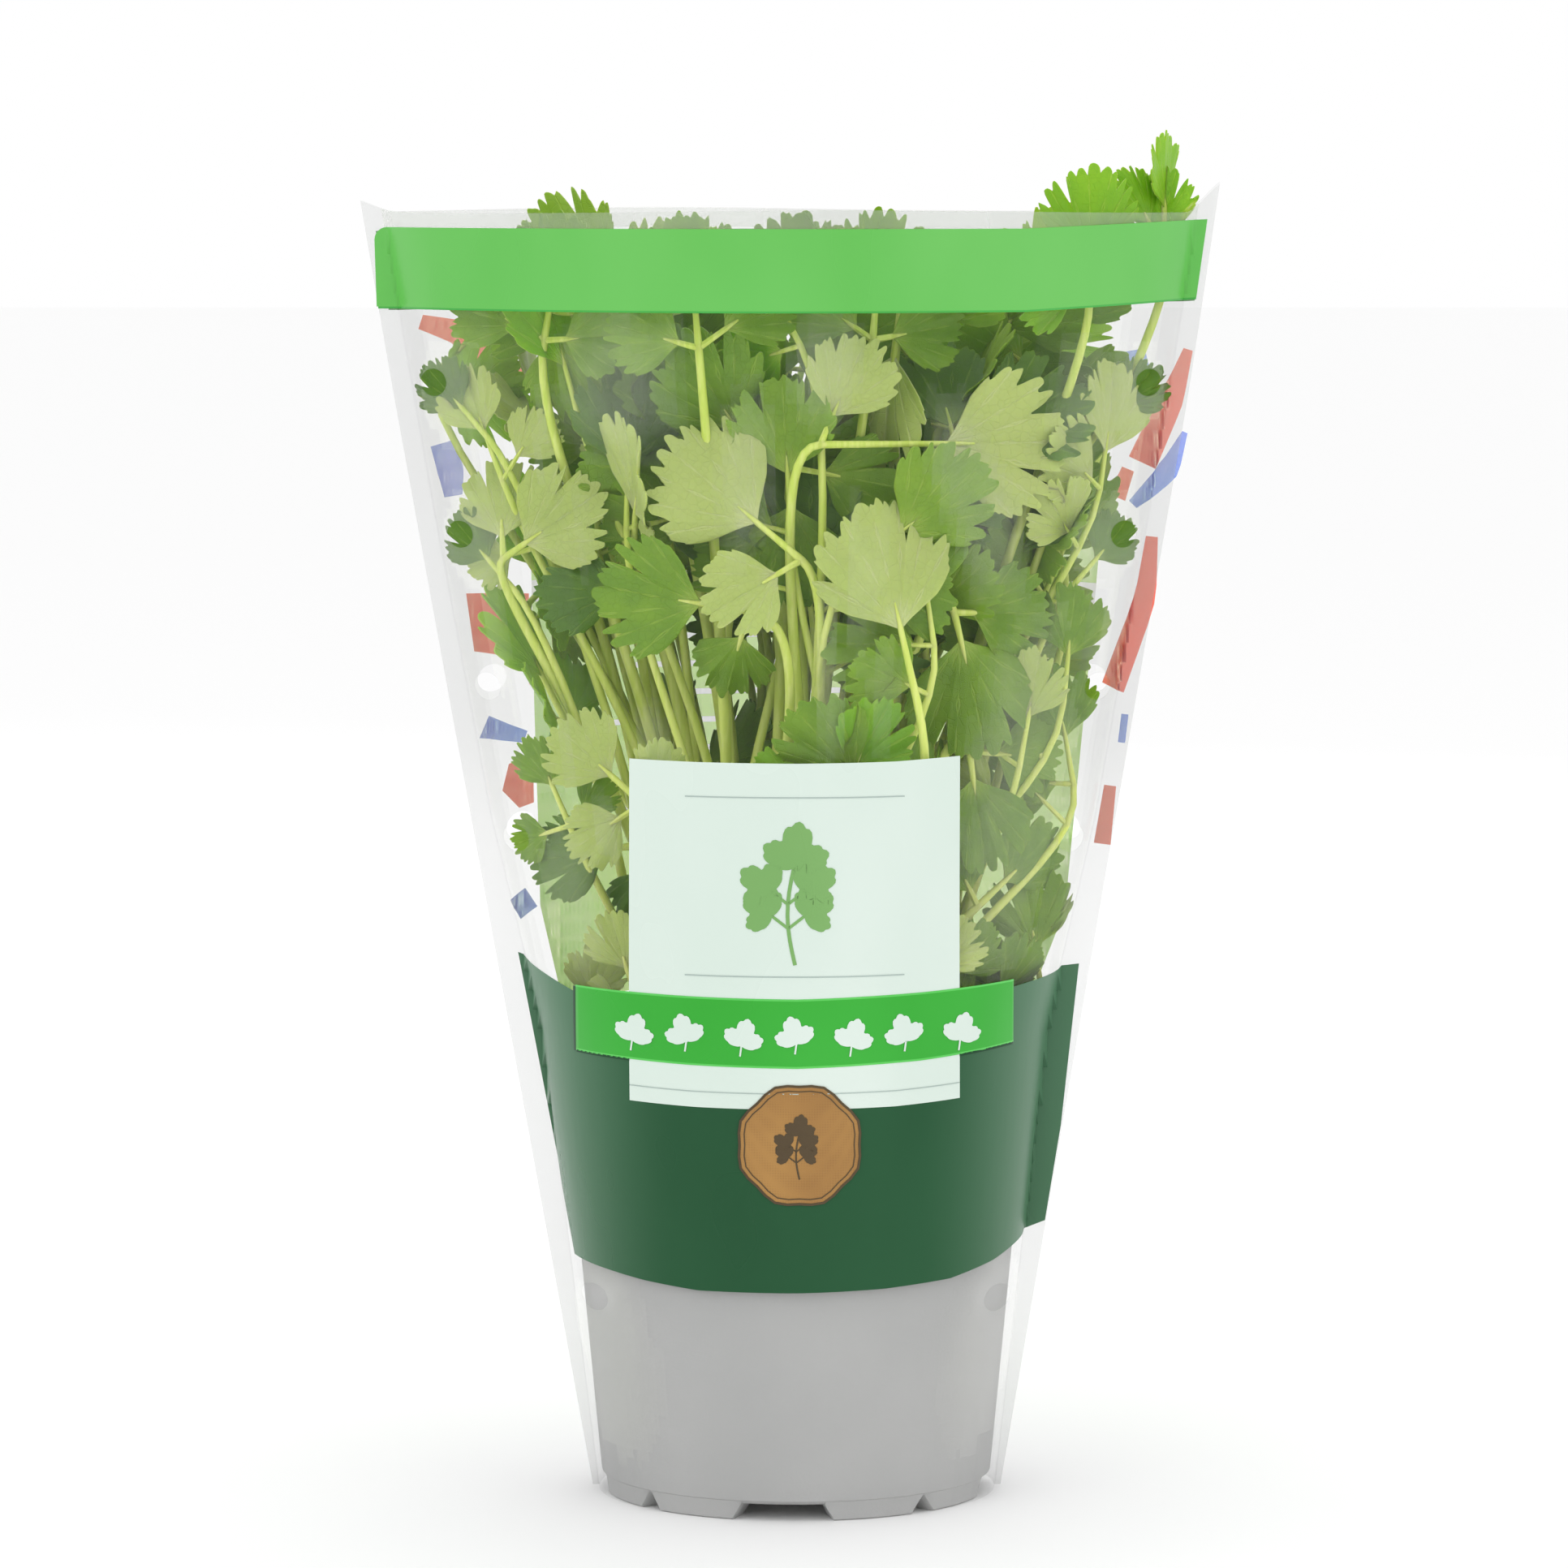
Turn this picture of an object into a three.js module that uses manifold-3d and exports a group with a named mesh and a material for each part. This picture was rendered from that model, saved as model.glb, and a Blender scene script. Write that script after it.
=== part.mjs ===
// A pot of coriander in its clear film sleeve.
// Millimetres, +Z up. The sleeve's printed front faces -Y. The origin is on the pot's axis, on the
// plane that its feet stand on.

import * as THREE from "three";
import { mergeVertices } from "three/addons/utils/BufferGeometryUtils.js";
import Module from "manifold-3d";

const wasm = await Module();
wasm.setup();

// ---------------------------------------------------------------- driving dimensions

const GAP = 0.3; // clearance between pieces that touch
const CUT = 2; // how far a cutter runs past what it cuts

// The pot, a thin-walled taper that stands on a ring of feet.
const POT_HEIGHT = 97;
const POT_BASE_RADIUS = 40;
const POT_TAPER = THREE.MathUtils.degToRad(5.4);
const POT_WALL = 1.5;
const POT_FLOOR = 2;
const POT_SIDES = 26;
const RIM_RADIUS = 50.2;
const RIM_HEIGHT = 6;
const RIM_SLOPE = 1; // height of the slope under the rim
const RIM_DRAFT = 0.2;
const FOOT_HEIGHT = 4.3;
const FOOT_RING_WIDTH = 8;
const FOOT_DRAFT = 0.6;
const FOOT_LEDGE = 0.4; // how far the wall stands out past the feet
const NOTCH_HEIGHT = 3.4;
const NOTCH_COUNT = 8; // wide arches and small notches by turns
const NOTCH_TURN = THREE.MathUtils.degToRad(-94); // the first wide arch, just left of the front
const WIDE_NOTCH = { bottom: 21, top: 17 };
const SMALL_NOTCH = { bottom: 6, top: 0.6 };
const DRAIN_HOLES = 6;
const DRAIN_RADIUS = 4;
const DRAIN_CIRCLE = 20;
const DRAIN_SIDES = 8;

// The compost that fills the pot.
const SOIL_TOP = 86;
const SOIL_CRUMB = 1.3; // how far its surface rises and falls
const SOIL_RINGS = 3;
const SOIL_SIDES = 16;
const SOIL_SHOULDER = 3; // how far below its top the compost leaves the wall
const SOIL_SEED = 11;
const STEM_DEPTH = 6; // how deep a stem stands in it

// The sleeve: two sheets of film welded along both sides, round the pot below and open above.
const FILM = 0.7;
const SLEEVE_BOTTOM = 0.5;
const SLEEVE_TOP = 265.5;
const LEFT_EDGE = { foot: 42.2, lean: 0.178, corner: 2.5 };
const RIGHT_EDGE = { foot: 42.5, lean: 0.1675, corner: 6.5 };
const SIDE_SEAM = 0.9; // thickness of the two sheets where they lie together
// Half width and half depth of the space between the sheets at rising heights, and how pointed its
// section is: 0.5 is round, as on the pot, and 1 a lens with sharp sides.
const BODY_STATIONS = [
  { z: SLEEVE_BOTTOM, halfWidth: 41.4, halfDepth: 41.4, point: 0.5 },
  { z: POT_HEIGHT + 0.4, halfWidth: 52.5, halfDepth: 52.5, point: 0.5 },
  { z: 140, halfWidth: 62.5, halfDepth: 52, point: 0.66 },
  { z: 205, halfWidth: 74, halfDepth: 50, point: 0.78 },
  { z: 275, halfWidth: 85.5, halfDepth: 47, point: 0.82 },
];
const SECTION_STEPS = 12; // steps along each half of a section
const HOLE_HEIGHTS = [43, 137, 168, 199, 230];
const HOLE_RADIUS = 2.8;
const HOLE_INSET = 5; // from the side of the body to a hole's middle
const HOLE_SIDES = 6;

// The leafy stems.
const BLADE = 0.7; // thickness of a leaflet
const STEM_SIDES = 5;
const STALK_SIDES = 3;
const STEM_STEPS = 5;
const STEM_RADIUS = { foot: 1.45, top: 0.85 };
const STALK_RADIUS = { foot: 0.85, top: 0.5 };
const STEM_COLLAR = 2; // height above the compost where a stem starts to bend
const STEM_LEAN = 0.12; // share of its lean that a stem has at half its height
const STALK_OVERLAP = 0.3; // how far a side stalk starts inside the stem
const STALK_IN_BLADE = 0.2; // share of a leaflet's length that its stalk runs on as a rib
const HEART_IN_BLADE = 0.32; // share of its length where a leaflet's ribs part
const HEEL = 0.8; // how far a leaflet starts behind the end of its stalk
const STEM_CLEARANCE = 0.25;
const FILM_CLEARANCE = 0.6;
const MOUTH_SPREAD = 1.5; // how far leaves may lean out per height above the sleeve
const WALL_CLEARANCE = 1;

// Ranges that the leaflets' forms are drawn from. As shares of the length: fold lifts both sides,
// cup bends the end, and wave is a ripple of three crests round the blade, which starts at phase.
const LEAFLET_FORM = {
  fold: [-0.12, 0.3],
  cup: [-0.18, 0.12],
  wave: [0.03, 0.09],
  phase: [0, 2 * Math.PI],
};
const WAVES = 3;
// Side leaflets: the angle from the leaf's direction, how far they hang, and their stalk's length.
const SIDE_LEAFLET = { angle: [58, 84], droop: [-0.25, 0.35], reach: [3.5, 7] };

// Where stems can stand in the compost, and the part of a leaf's place that its root lies under.
const ROOT_SPACING = 4.3;
const ROOT_COUNT = 46;
const ROOT_AIM = { x: 0.36, y: 0.55 };
const ROOT_CHOICES = 3;
const GOLDEN_ANGLE = Math.PI * (3 - Math.sqrt(5));

// The leaves next to the front sheet move a little for each try, and further in. Their faces turn
// from the film's direction towards the front by the share forward.
const FRONT = { tries: 26, seed: 500, seedStep: 31, shift: 0.25, retreat: 0.8, forward: 0.55 };

// The leaves that fill the rest. A leaf's spread is 0 on the sleeve's axis and 1 at the film.
const FILLER = {
  count: 26,
  tries: 160,
  seed: 7000,
  seedStep: 131,
  tryStep: 17,
  turn: [-0.5, 0.5],
  height: [128, 252],
  heightPower: 0.6, // under 1 puts more of them high up
  heightSpread: [-7, 7],
  spread: [0.15, 0.84],
  backward: 0.1, // as a share of the depth, as the front has its own leaves
  lie: [0.15, 0.85], // 1 lies along the film, 0 is level
  tilt: [-0.35, 0.35],
  heading: [-1.1, 1.1],
  length: [19, 26],
  stalk: [8, 13],
  bend: [14, 34],
  pairs: 0.7, // share of the leaves with two side leaflets
};

// A leaflet's outline from side to side: angle from the midrib in degrees, and reach as a share of
// the leaflet's length. Three lobes, with a slit on each side of the middle one.
const LEAFLET_OUTLINE = [
  { turn: -66, reach: 0.46 },
  { turn: -54, reach: 0.78 },
  { turn: -36, reach: 0.86 },
  { turn: -22, reach: 0.6 },
  { turn: -13, reach: 0.93 },
  { turn: 1, reach: 1.0 },
  { turn: 14, reach: 0.95 },
  { turn: 24, reach: 0.62 },
  { turn: 37, reach: 0.86 },
  { turn: 55, reach: 0.78 },
  { turn: 67, reach: 0.44 },
];
const LEAFLET_WIDTH = 0.88; // narrows the outline sideways

const COLOURS = {
  pot: "#b8b7b4",
  soil: "#4a3524",
  film: "#eef0ee",
  leafPale: "#a9c46c",
  leafMid: "#6f9f3f",
  leafBright: "#6fb52f",
  leafDark: "#3f6f2c",
};

// ---------------------------------------------------------------- helpers

// A repeatable stream of numbers from 0 to 1.
function randomStream(seed) {
  let state = seed >>> 0;
  const next = () => {
    state = (Math.imul(state, 1664525) + 1013904223) >>> 0;
    return state / 4294967296;
  };
  for (let i = 0; i < 4; i += 1) {
    next();
  }
  return next;
}

function mix(a, b, t) {
  return a + (b - a) * t;
}

function draw(range, random) {
  return mix(range[0], range[1], random());
}

function solidFrom(vertices, triangles) {
  return new wasm.Manifold(
    new wasm.Mesh({
      numProp: 3,
      vertProperties: new Float32Array(vertices),
      triVerts: new Uint32Array(triangles),
    }),
  );
}

function solidFromGeometry(geometry) {
  geometry.deleteAttribute("normal");
  geometry.deleteAttribute("uv");
  const merged = mergeVertices(geometry, 1e-3);
  return solidFrom(merged.attributes.position.array, merged.index.array);
}

function geometryFrom(solid) {
  const mesh = solid.getMesh();
  const geometry = new THREE.BufferGeometry();
  geometry.setAttribute("position", new THREE.BufferAttribute(mesh.vertProperties, 3));
  geometry.setIndex(new THREE.BufferAttribute(mesh.triVerts, 1));
  geometry.computeVertexNormals();
  return geometry;
}

function join(solids) {
  return solids.reduce((whole, piece) => whole.add(piece));
}

// A closed skin over rings of points that run anticlockwise as seen from the last ring.
function loft(rings) {
  const count = rings[0].length;
  const vertices = rings.flat().flatMap((p) => [p.x, p.y, p.z]);
  const triangles = [];
  for (let i = 0; i + 1 < rings.length; i += 1) {
    for (let j = 0; j < count; j += 1) {
      const a = i * count + j;
      const b = i * count + ((j + 1) % count);
      triangles.push(a, b, b + count, a, b + count, a + count);
    }
  }
  [rings[0], rings[rings.length - 1]].forEach((ring, end) => {
    const middle = vertices.length / 3;
    const centre = ring.reduce((sum, p) => sum.add(p), new THREE.Vector3()).divideScalar(count);
    vertices.push(centre.x, centre.y, centre.z);
    const first = end === 0 ? 0 : (rings.length - 1) * count;
    for (let j = 0; j < count; j += 1) {
      const a = first + j;
      const b = first + ((j + 1) % count);
      triangles.push(...(end === 0 ? [middle, b, a] : [middle, a, b]));
    }
  });
  return solidFrom(vertices, triangles);
}

// A round bar along a path, with a radius at each point.
function taperedBar(path, radii, sides) {
  let across = new THREE.Vector3(1, 0.3, 0.1);
  const rings = path.map((point, i) => {
    const before = path[Math.max(i - 1, 0)];
    const after = path[Math.min(i + 1, path.length - 1)];
    const along = after.clone().sub(before).normalize();
    across = across.clone().addScaledVector(along, -across.dot(along)).normalize();
    const upward = along.clone().cross(across);
    return Array.from({ length: sides }, (_, j) => {
      const angle = (2 * Math.PI * j) / sides;
      return point
        .clone()
        .addScaledVector(across, radii[i] * Math.cos(angle))
        .addScaledVector(upward, radii[i] * Math.sin(angle));
    });
  });
  return loft(rings);
}

function prism(x, y, low, high, radius, sides) {
  const ends = [new THREE.Vector3(x, y, low), new THREE.Vector3(x, y, high)];
  return taperedBar(ends, [radius, radius], sides);
}

// ---------------------------------------------------------------- pot and compost

function potRadius(z) {
  return POT_BASE_RADIUS + FOOT_LEDGE + (z - FOOT_HEIGHT) * Math.tan(POT_TAPER);
}

function potInnerRadius(z) {
  return potRadius(z) - POT_WALL;
}

function notchCutter(size, turn) {
  const shape = new THREE.Shape([
    new THREE.Vector2(-size.bottom / 2, -CUT),
    new THREE.Vector2(size.bottom / 2, -CUT),
    new THREE.Vector2(size.bottom / 2, 0),
    new THREE.Vector2(size.top / 2, NOTCH_HEIGHT),
    new THREE.Vector2(-size.top / 2, NOTCH_HEIGHT),
    new THREE.Vector2(-size.bottom / 2, 0),
  ]);
  const depth = FOOT_RING_WIDTH + 4 * CUT;
  const geometry = new THREE.ExtrudeGeometry(shape, { depth, bevelEnabled: false });
  geometry.rotateX(Math.PI / 2); // the notch's height now runs up, its length along -Y
  geometry.translate(0, -POT_BASE_RADIUS + FOOT_RING_WIDTH + 2 * CUT, 0);
  geometry.rotateZ(turn + Math.PI / 2);
  return solidFromGeometry(geometry);
}

function buildPot() {
  const rimBottom = POT_HEIGHT - RIM_HEIGHT;
  const floorTop = FOOT_HEIGHT + POT_FLOOR;
  const ringInside = POT_BASE_RADIUS - FOOT_RING_WIDTH;
  const profile = [
    [0, FOOT_HEIGHT],
    [ringInside - FOOT_DRAFT, FOOT_HEIGHT],
    [ringInside, 0],
    [POT_BASE_RADIUS - FOOT_DRAFT, 0],
    [POT_BASE_RADIUS, FOOT_HEIGHT - FOOT_LEDGE],
    [potRadius(FOOT_HEIGHT), FOOT_HEIGHT],
    [potRadius(rimBottom - RIM_SLOPE), rimBottom - RIM_SLOPE],
    [RIM_RADIUS - RIM_DRAFT, rimBottom],
    [RIM_RADIUS, POT_HEIGHT],
    [RIM_RADIUS - POT_WALL, POT_HEIGHT],
    [potInnerRadius(rimBottom), rimBottom],
    [potInnerRadius(floorTop), floorTop],
    [0, floorTop],
  ].map(([radius, height]) => new THREE.Vector2(radius, height));
  const body = new THREE.LatheGeometry(profile, POT_SIDES);
  body.rotateX(Math.PI / 2);
  let pot = solidFromGeometry(body);
  for (let i = 0; i < NOTCH_COUNT; i += 1) {
    const size = i % 2 === 0 ? WIDE_NOTCH : SMALL_NOTCH;
    pot = pot.subtract(notchCutter(size, NOTCH_TURN + (i * 2 * Math.PI) / NOTCH_COUNT));
  }
  for (let i = 0; i < DRAIN_HOLES; i += 1) {
    const angle = (i * 2 * Math.PI) / DRAIN_HOLES;
    const x = DRAIN_CIRCLE * Math.cos(angle);
    const y = DRAIN_CIRCLE * Math.sin(angle);
    pot = pot.subtract(prism(x, y, FOOT_HEIGHT - CUT, floorTop + CUT, DRAIN_RADIUS, DRAIN_SIDES));
  }
  return pot;
}

// Compost from the pot's floor up, with an uneven top and a plain hole for each stem.
function buildSoil(feet) {
  const random = randomStream(SOIL_SEED);
  const shoulder = SOIL_TOP - SOIL_SHOULDER;
  const low = FOOT_HEIGHT + POT_FLOOR + GAP;
  const flats = Math.cos(Math.PI / POT_SIDES); // the pot's wall comes nearest between its corners
  const ring = (radius, height, crumb) =>
    Array.from({ length: SOIL_SIDES }, (_, j) => {
      const angle = (2 * Math.PI * j) / SOIL_SIDES;
      const rise = crumb * (2 * random() - 1);
      return new THREE.Vector3(radius * Math.cos(angle), radius * Math.sin(angle), height + rise);
    });
  const lowRadius = potInnerRadius(low) * flats - GAP;
  const topRadius = potInnerRadius(shoulder) * flats - GAP;
  const rings = [ring(lowRadius, low, 0), ring(topRadius, shoulder, 0)];
  for (let i = 0; i < SOIL_RINGS; i += 1) {
    rings.push(ring(topRadius * (1 - (i + 0.4) / SOIL_RINGS), SOIL_TOP, SOIL_CRUMB));
  }
  const holes = feet.map((foot) => {
    const radius = STEM_RADIUS.foot + GAP;
    const high = SOIL_TOP + SOIL_CRUMB + CUT;
    return prism(foot.x, foot.y, SOIL_TOP - STEM_DEPTH - GAP, high, radius, STEM_SIDES);
  });
  return loft(rings).subtract(join(holes));
}

// ---------------------------------------------------------------- sleeve

function sleeveSection(z) {
  const upper = Math.max(
    1,
    BODY_STATIONS.findIndex((station) => station.z >= z),
  );
  const a = BODY_STATIONS[upper - 1];
  const b = BODY_STATIONS[upper];
  const t = (z - a.z) / (b.z - a.z);
  const left = LEFT_EDGE.foot + LEFT_EDGE.lean * z;
  const right = RIGHT_EDGE.foot + RIGHT_EDGE.lean * z;
  return {
    left: -left,
    right,
    middle: (right - left) / 2,
    halfWidth: mix(a.halfWidth, b.halfWidth, t),
    halfDepth: mix(a.halfDepth, b.halfDepth, t),
    point: mix(a.point, b.point, t),
  };
}

// A section's half depth at a place across it, with a margin inside the film all round.
function depthAt(s, x, margin) {
  const share = (x - s.middle) / (s.halfWidth - margin);
  return (s.halfDepth - margin) * Math.max(0, 1 - share * share) ** s.point;
}

function sectionPoint(s, angle, margin, z) {
  const x = s.middle + (s.halfWidth - margin) * Math.cos(angle);
  const y = (s.halfDepth - margin) * Math.abs(Math.sin(angle)) ** (2 * s.point);
  return new THREE.Vector3(x, y * Math.sign(Math.sin(angle)), z);
}

// The outer contour: the body with a flat seam on each side. At the mouth the seams' ends
// stand up as corners.
function outerRing(z, atMouth) {
  const s = sleeveSection(z);
  const seam = SIDE_SEAM / 2;
  const half = [{ x: s.right, y: seam, rise: RIGHT_EDGE.corner }];
  half.push({ x: s.middle + s.halfWidth, y: seam, rise: 0 });
  for (let k = 1; k < SECTION_STEPS; k += 1) {
    const { x, y } = sectionPoint(s, (Math.PI * k) / SECTION_STEPS, 0, z);
    half.push({ x, y, rise: 0 });
  }
  half.push({ x: s.middle - s.halfWidth, y: seam, rise: 0 });
  half.push({ x: s.left, y: seam, rise: LEFT_EDGE.corner });
  const back = half.map((p) => new THREE.Vector3(p.x, p.y, z + (atMouth ? p.rise : 0)));
  const front = back.map((p) => new THREE.Vector3(p.x, -p.y, p.z)).reverse();
  return [...back, ...front];
}

function innerRing(z, shift) {
  const s = sleeveSection(z);
  const steps = 2 * SECTION_STEPS;
  return Array.from({ length: steps }, (_, k) =>
    sectionPoint(s, (2 * Math.PI * k) / steps, FILM, z + shift),
  );
}

function buildSleeve() {
  const between = BODY_STATIONS.map((station) => station.z).filter((z) => z < SLEEVE_TOP);
  const heights = [...between, SLEEVE_TOP];
  const outer = loft(heights.map((z) => outerRing(z, z === SLEEVE_TOP)));
  const inner = loft(
    heights.map((z) => {
      const past = z === SLEEVE_TOP ? 2 * RIGHT_EDGE.corner : 0;
      const under = z === SLEEVE_BOTTOM ? CUT : 0;
      return innerRing(z, past - under);
    }),
  );
  const holes = [];
  for (const z of HOLE_HEIGHTS) {
    const s = sleeveSection(z);
    for (const side of [-1, 1]) {
      const x = s.middle + side * (s.halfWidth - HOLE_INSET);
      const path = [-s.halfDepth, s.halfDepth].map((y) => new THREE.Vector3(x, y, z));
      holes.push(taperedBar(path, [HOLE_RADIUS, HOLE_RADIUS], HOLE_SIDES));
    }
  }
  return outer.subtract(inner).subtract(join(holes));
}

// ---------------------------------------------------------------- leafy stems

// A leaflet is one thin blade. It lies in a frame of its own: forward from its stalk, face up.
function leafletPiece(leaflet, swell) {
  const { at, forward, face, length, fold, cup, wave, phase } = leaflet;
  const sideways = face.clone().cross(forward);
  const thickness = BLADE + 2 * swell;
  const reachOut = 1 + (2 * swell) / length;
  const pointAt = (turn, reach) => {
    const angle = THREE.MathUtils.degToRad(turn);
    const out = reach * reachOut * length;
    const lift = fold * reach * Math.abs(Math.sin(angle)) + cup * reach * reach;
    const ripple = wave * reach * Math.sin(WAVES * angle + phase);
    return at
      .clone()
      .addScaledVector(forward, out * Math.cos(angle))
      .addScaledVector(sideways, out * LEAFLET_WIDTH * Math.sin(angle))
      .addScaledVector(face, length * (lift + ripple));
  };
  const edge = [
    at.clone().addScaledVector(forward, -HEEL),
    ...LEAFLET_OUTLINE.map(({ turn, reach }) => pointAt(turn, reach)),
  ];
  const sheet = [...edge, pointAt(0, HEART_IN_BLADE)];
  const top = sheet.map((p) => p.clone().addScaledVector(face, thickness / 2));
  const low = sheet.map((p) => p.clone().addScaledVector(face, -thickness / 2));
  const vertices = [...top, ...low].flatMap((p) => [p.x, p.y, p.z]);
  const count = sheet.length;
  const heart = edge.length;
  const triangles = [];
  edge.forEach((_, k) => {
    const next = (k + 1) % edge.length;
    triangles.push(heart, k, next, count + heart, count + next, count + k);
    triangles.push(k, count + k, count + next, k, count + next, next);
  });
  return solidFrom(vertices, triangles);
}

// The route of a main stem: straight up out of the compost, then a bend to the leaf.
function stemPath(plan) {
  const foot = new THREE.Vector3(plan.foot.x, plan.foot.y, SOIL_TOP + STEM_COLLAR);
  const lean = plan.node.clone().sub(foot);
  const rising = foot.clone().add(lean.multiply(new THREE.Vector3(STEM_LEAN, STEM_LEAN, 0.5)));
  const arriving = plan.node.clone().addScaledVector(plan.forward, -plan.bend);
  const curve = new THREE.CubicBezierCurve3(foot, rising, arriving, plan.node);
  const root = new THREE.Vector3(plan.foot.x, plan.foot.y, SOIL_TOP - STEM_DEPTH);
  return [root, ...curve.getPoints(STEM_STEPS)];
}

// All the pieces of one leafy stem, each grown by swell for a clearance test.
function stemPieces(plan, swell) {
  const path = stemPath(plan);
  const last = plan.leaflets[0];
  const tip = last.at.clone().addScaledVector(last.forward, STALK_IN_BLADE * last.length);
  const radii = path.map(
    (_, i) => mix(STEM_RADIUS.foot, STEM_RADIUS.top, Math.max(0, i - 1) / STEM_STEPS) + swell,
  );
  const pieces = [
    taperedBar([...path, tip], [...radii, STALK_RADIUS.top + swell], STEM_SIDES),
  ];
  plan.leaflets.forEach((leaflet, i) => {
    if (i > 0) {
      const inBlade = STALK_IN_BLADE * leaflet.length;
      const end = leaflet.at.clone().addScaledVector(leaflet.forward, inBlade);
      const stalk = [STALK_RADIUS.foot + swell, STALK_RADIUS.top + swell];
      pieces.push(taperedBar([leaflet.from, end], stalk, STALK_SIDES));
    }
    pieces.push(leafletPiece(leaflet, swell));
  });
  return pieces;
}

// Turns a leaf's place and attitude into a plan of its stem and its leaflets. The end leaflet
// starts at a stalk's length past the node, and the side leaflets start at the node.
function planLeaf(leaf, foot, random) {
  const forward = leaf.forward.clone().normalize();
  const face = leaf.face.clone().addScaledVector(forward, -leaf.face.dot(forward)).normalize();
  const sideways = face.clone().cross(forward);
  const node = leaf.at.clone().addScaledVector(forward, -leaf.stalk);
  const form = () => ({
    fold: draw(LEAFLET_FORM.fold, random),
    cup: draw(LEAFLET_FORM.cup, random),
    wave: draw(LEAFLET_FORM.wave, random),
    phase: draw(LEAFLET_FORM.phase, random),
  });
  const leaflets = [{ at: leaf.at.clone(), forward, face, length: leaf.length, ...form() }];
  leaf.sides.forEach((share, i) => {
    const side = i % 2 === 0 ? 1 : -1;
    const angle = THREE.MathUtils.degToRad(draw(SIDE_LEAFLET.angle, random));
    const droop = draw(SIDE_LEAFLET.droop, random);
    const outward = forward
      .clone()
      .multiplyScalar(Math.cos(angle))
      .addScaledVector(sideways, side * Math.sin(angle))
      .addScaledVector(face, -droop)
      .normalize();
    const ownFace = face.clone().addScaledVector(outward, -face.dot(outward)).normalize();
    const reach = draw(SIDE_LEAFLET.reach, random);
    leaflets.push({
      from: node.clone().addScaledVector(outward, -STALK_OVERLAP),
      at: node.clone().addScaledVector(outward, reach),
      forward: outward,
      face: ownFace,
      length: leaf.length * share,
      ...form(),
    });
  });
  return { foot, node, forward, bend: leaf.bend, leaflets };
}

// The outward direction of the film, level, next to a point between the sheets.
function filmOutward(x, y, z) {
  const s = sleeveSection(z);
  const across = (2 * (x - s.middle)) / s.halfWidth ** 2;
  const deep = Math.abs(y / s.halfDepth) ** (1 / s.point - 1) / (s.point * s.halfDepth);
  return new THREE.Vector3(across, deep * Math.sign(y), 0).normalize();
}

const UP = new THREE.Vector3(0, 0, 1);
const FRONTWARD = new THREE.Vector3(0, -1, 0);

// Leaves that lie against the front sheet, placed one by one: where the end leaflet starts,
// across and up; the way it points, in degrees from level to the right; its length; its stalk
// beyond the node; the bend before the node; a roll about its midrib; the space to the film; its
// green; and the side leaflets as shares of its length.
function frontLeaf(x, z, turn, length, stalk, bend, roll, depth, green, ...sides) {
  return { x, z, turn, length, stalk, bend, roll, depth, green, sides };
}

const FRONT_LEAVES = [
  frontLeaf(29.5, 218.5, 0, 28, 26, 14, 0, 2.5, "leafPale", 0.6),
  frontLeaf(20.8, 182, 103, 26, 15, 34, 8, 2.5, "leafPale"),
  frontLeaf(-56.5, 196.5, 34, 21, 6, 8, 0, 3, "leafPale", 0.85),
  frontLeaf(-9, 202, 140, 24, 12, 12, 12, 4, "leafPale", 0.7),
  frontLeaf(59.5, 256, 90, 18.5, 9, 20, 0, 6, "leafBright", 0.8),
  frontLeaf(75.5, 265.5, 92, 15.5, 12, 18, 48, 5, "leafBright"),
  frontLeaf(17.5, 234, -98, 24, 8, 16, 55, 4, "leafPale"),
  frontLeaf(-19, 187, 172, 22, 10, 18, -10, 4, "leafMid", 0.7),
  frontLeaf(0, 205, -92, 22, 8, 24, 0, 5, "leafMid", 0.75),
  frontLeaf(32, 178, -76, 24, 6, 16, 0, 3, "leafMid", 0.8),
  frontLeaf(-38, 150, 140, 16, 9, 20, 10, 3, "leafPale", 0.8),
  frontLeaf(-41, 133, 190, 16, 8, 16, 0, 4, "leafDark", 0.8),
  frontLeaf(44, 128, 40, 16, 8, 14, 15, 4, "leafMid", 0.8),
  frontLeaf(-35, 113, 110, 12, 6, 8, 0, 3, "leafPale", 0.7),
  frontLeaf(-50, 246, 80, 19, 8, 24, 0, 5, "leafMid", 0.85, 0.8),
  frontLeaf(-20, 246, 95, 19, 8, 24, 0, 6, "leafMid", 0.85, 0.8),
  frontLeaf(16, 246, 85, 19, 8, 24, 0, 6, "leafMid", 0.9, 0.8),
  frontLeaf(-48, 240, -75, 18, 6, 16, 10, 5, "leafMid", 0.8),
  frontLeaf(36, 148, -82, 19, 6, 16, 0, 5, "leafMid", 0.8),
];

function frontLeafPlan(entry, attempt, seed, footOf) {
  const random = randomStream(seed + attempt);
  const x = entry.x + FRONT.shift * attempt * (random() - 0.5);
  const z = entry.z + FRONT.shift * attempt * (random() - 0.5);
  const sheet = -depthAt(sleeveSection(z), x, FILM);
  const outward = filmOutward(x, sheet, z).lerp(FRONTWARD, FRONT.forward).normalize();
  const rightward = UP.clone().cross(outward);
  const turn = THREE.MathUtils.degToRad(entry.turn);
  const roll = THREE.MathUtils.degToRad(entry.roll);
  const depth = entry.depth + FRONT.retreat * attempt;
  const forward = rightward.multiplyScalar(Math.cos(turn)).addScaledVector(UP, Math.sin(turn));
  const face = outward.clone().applyAxisAngle(forward, roll);
  const at = new THREE.Vector3(x, sheet + depth, z);
  return planLeaf({ ...entry, at, forward, face }, footOf(at, attempt), random);
}

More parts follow.
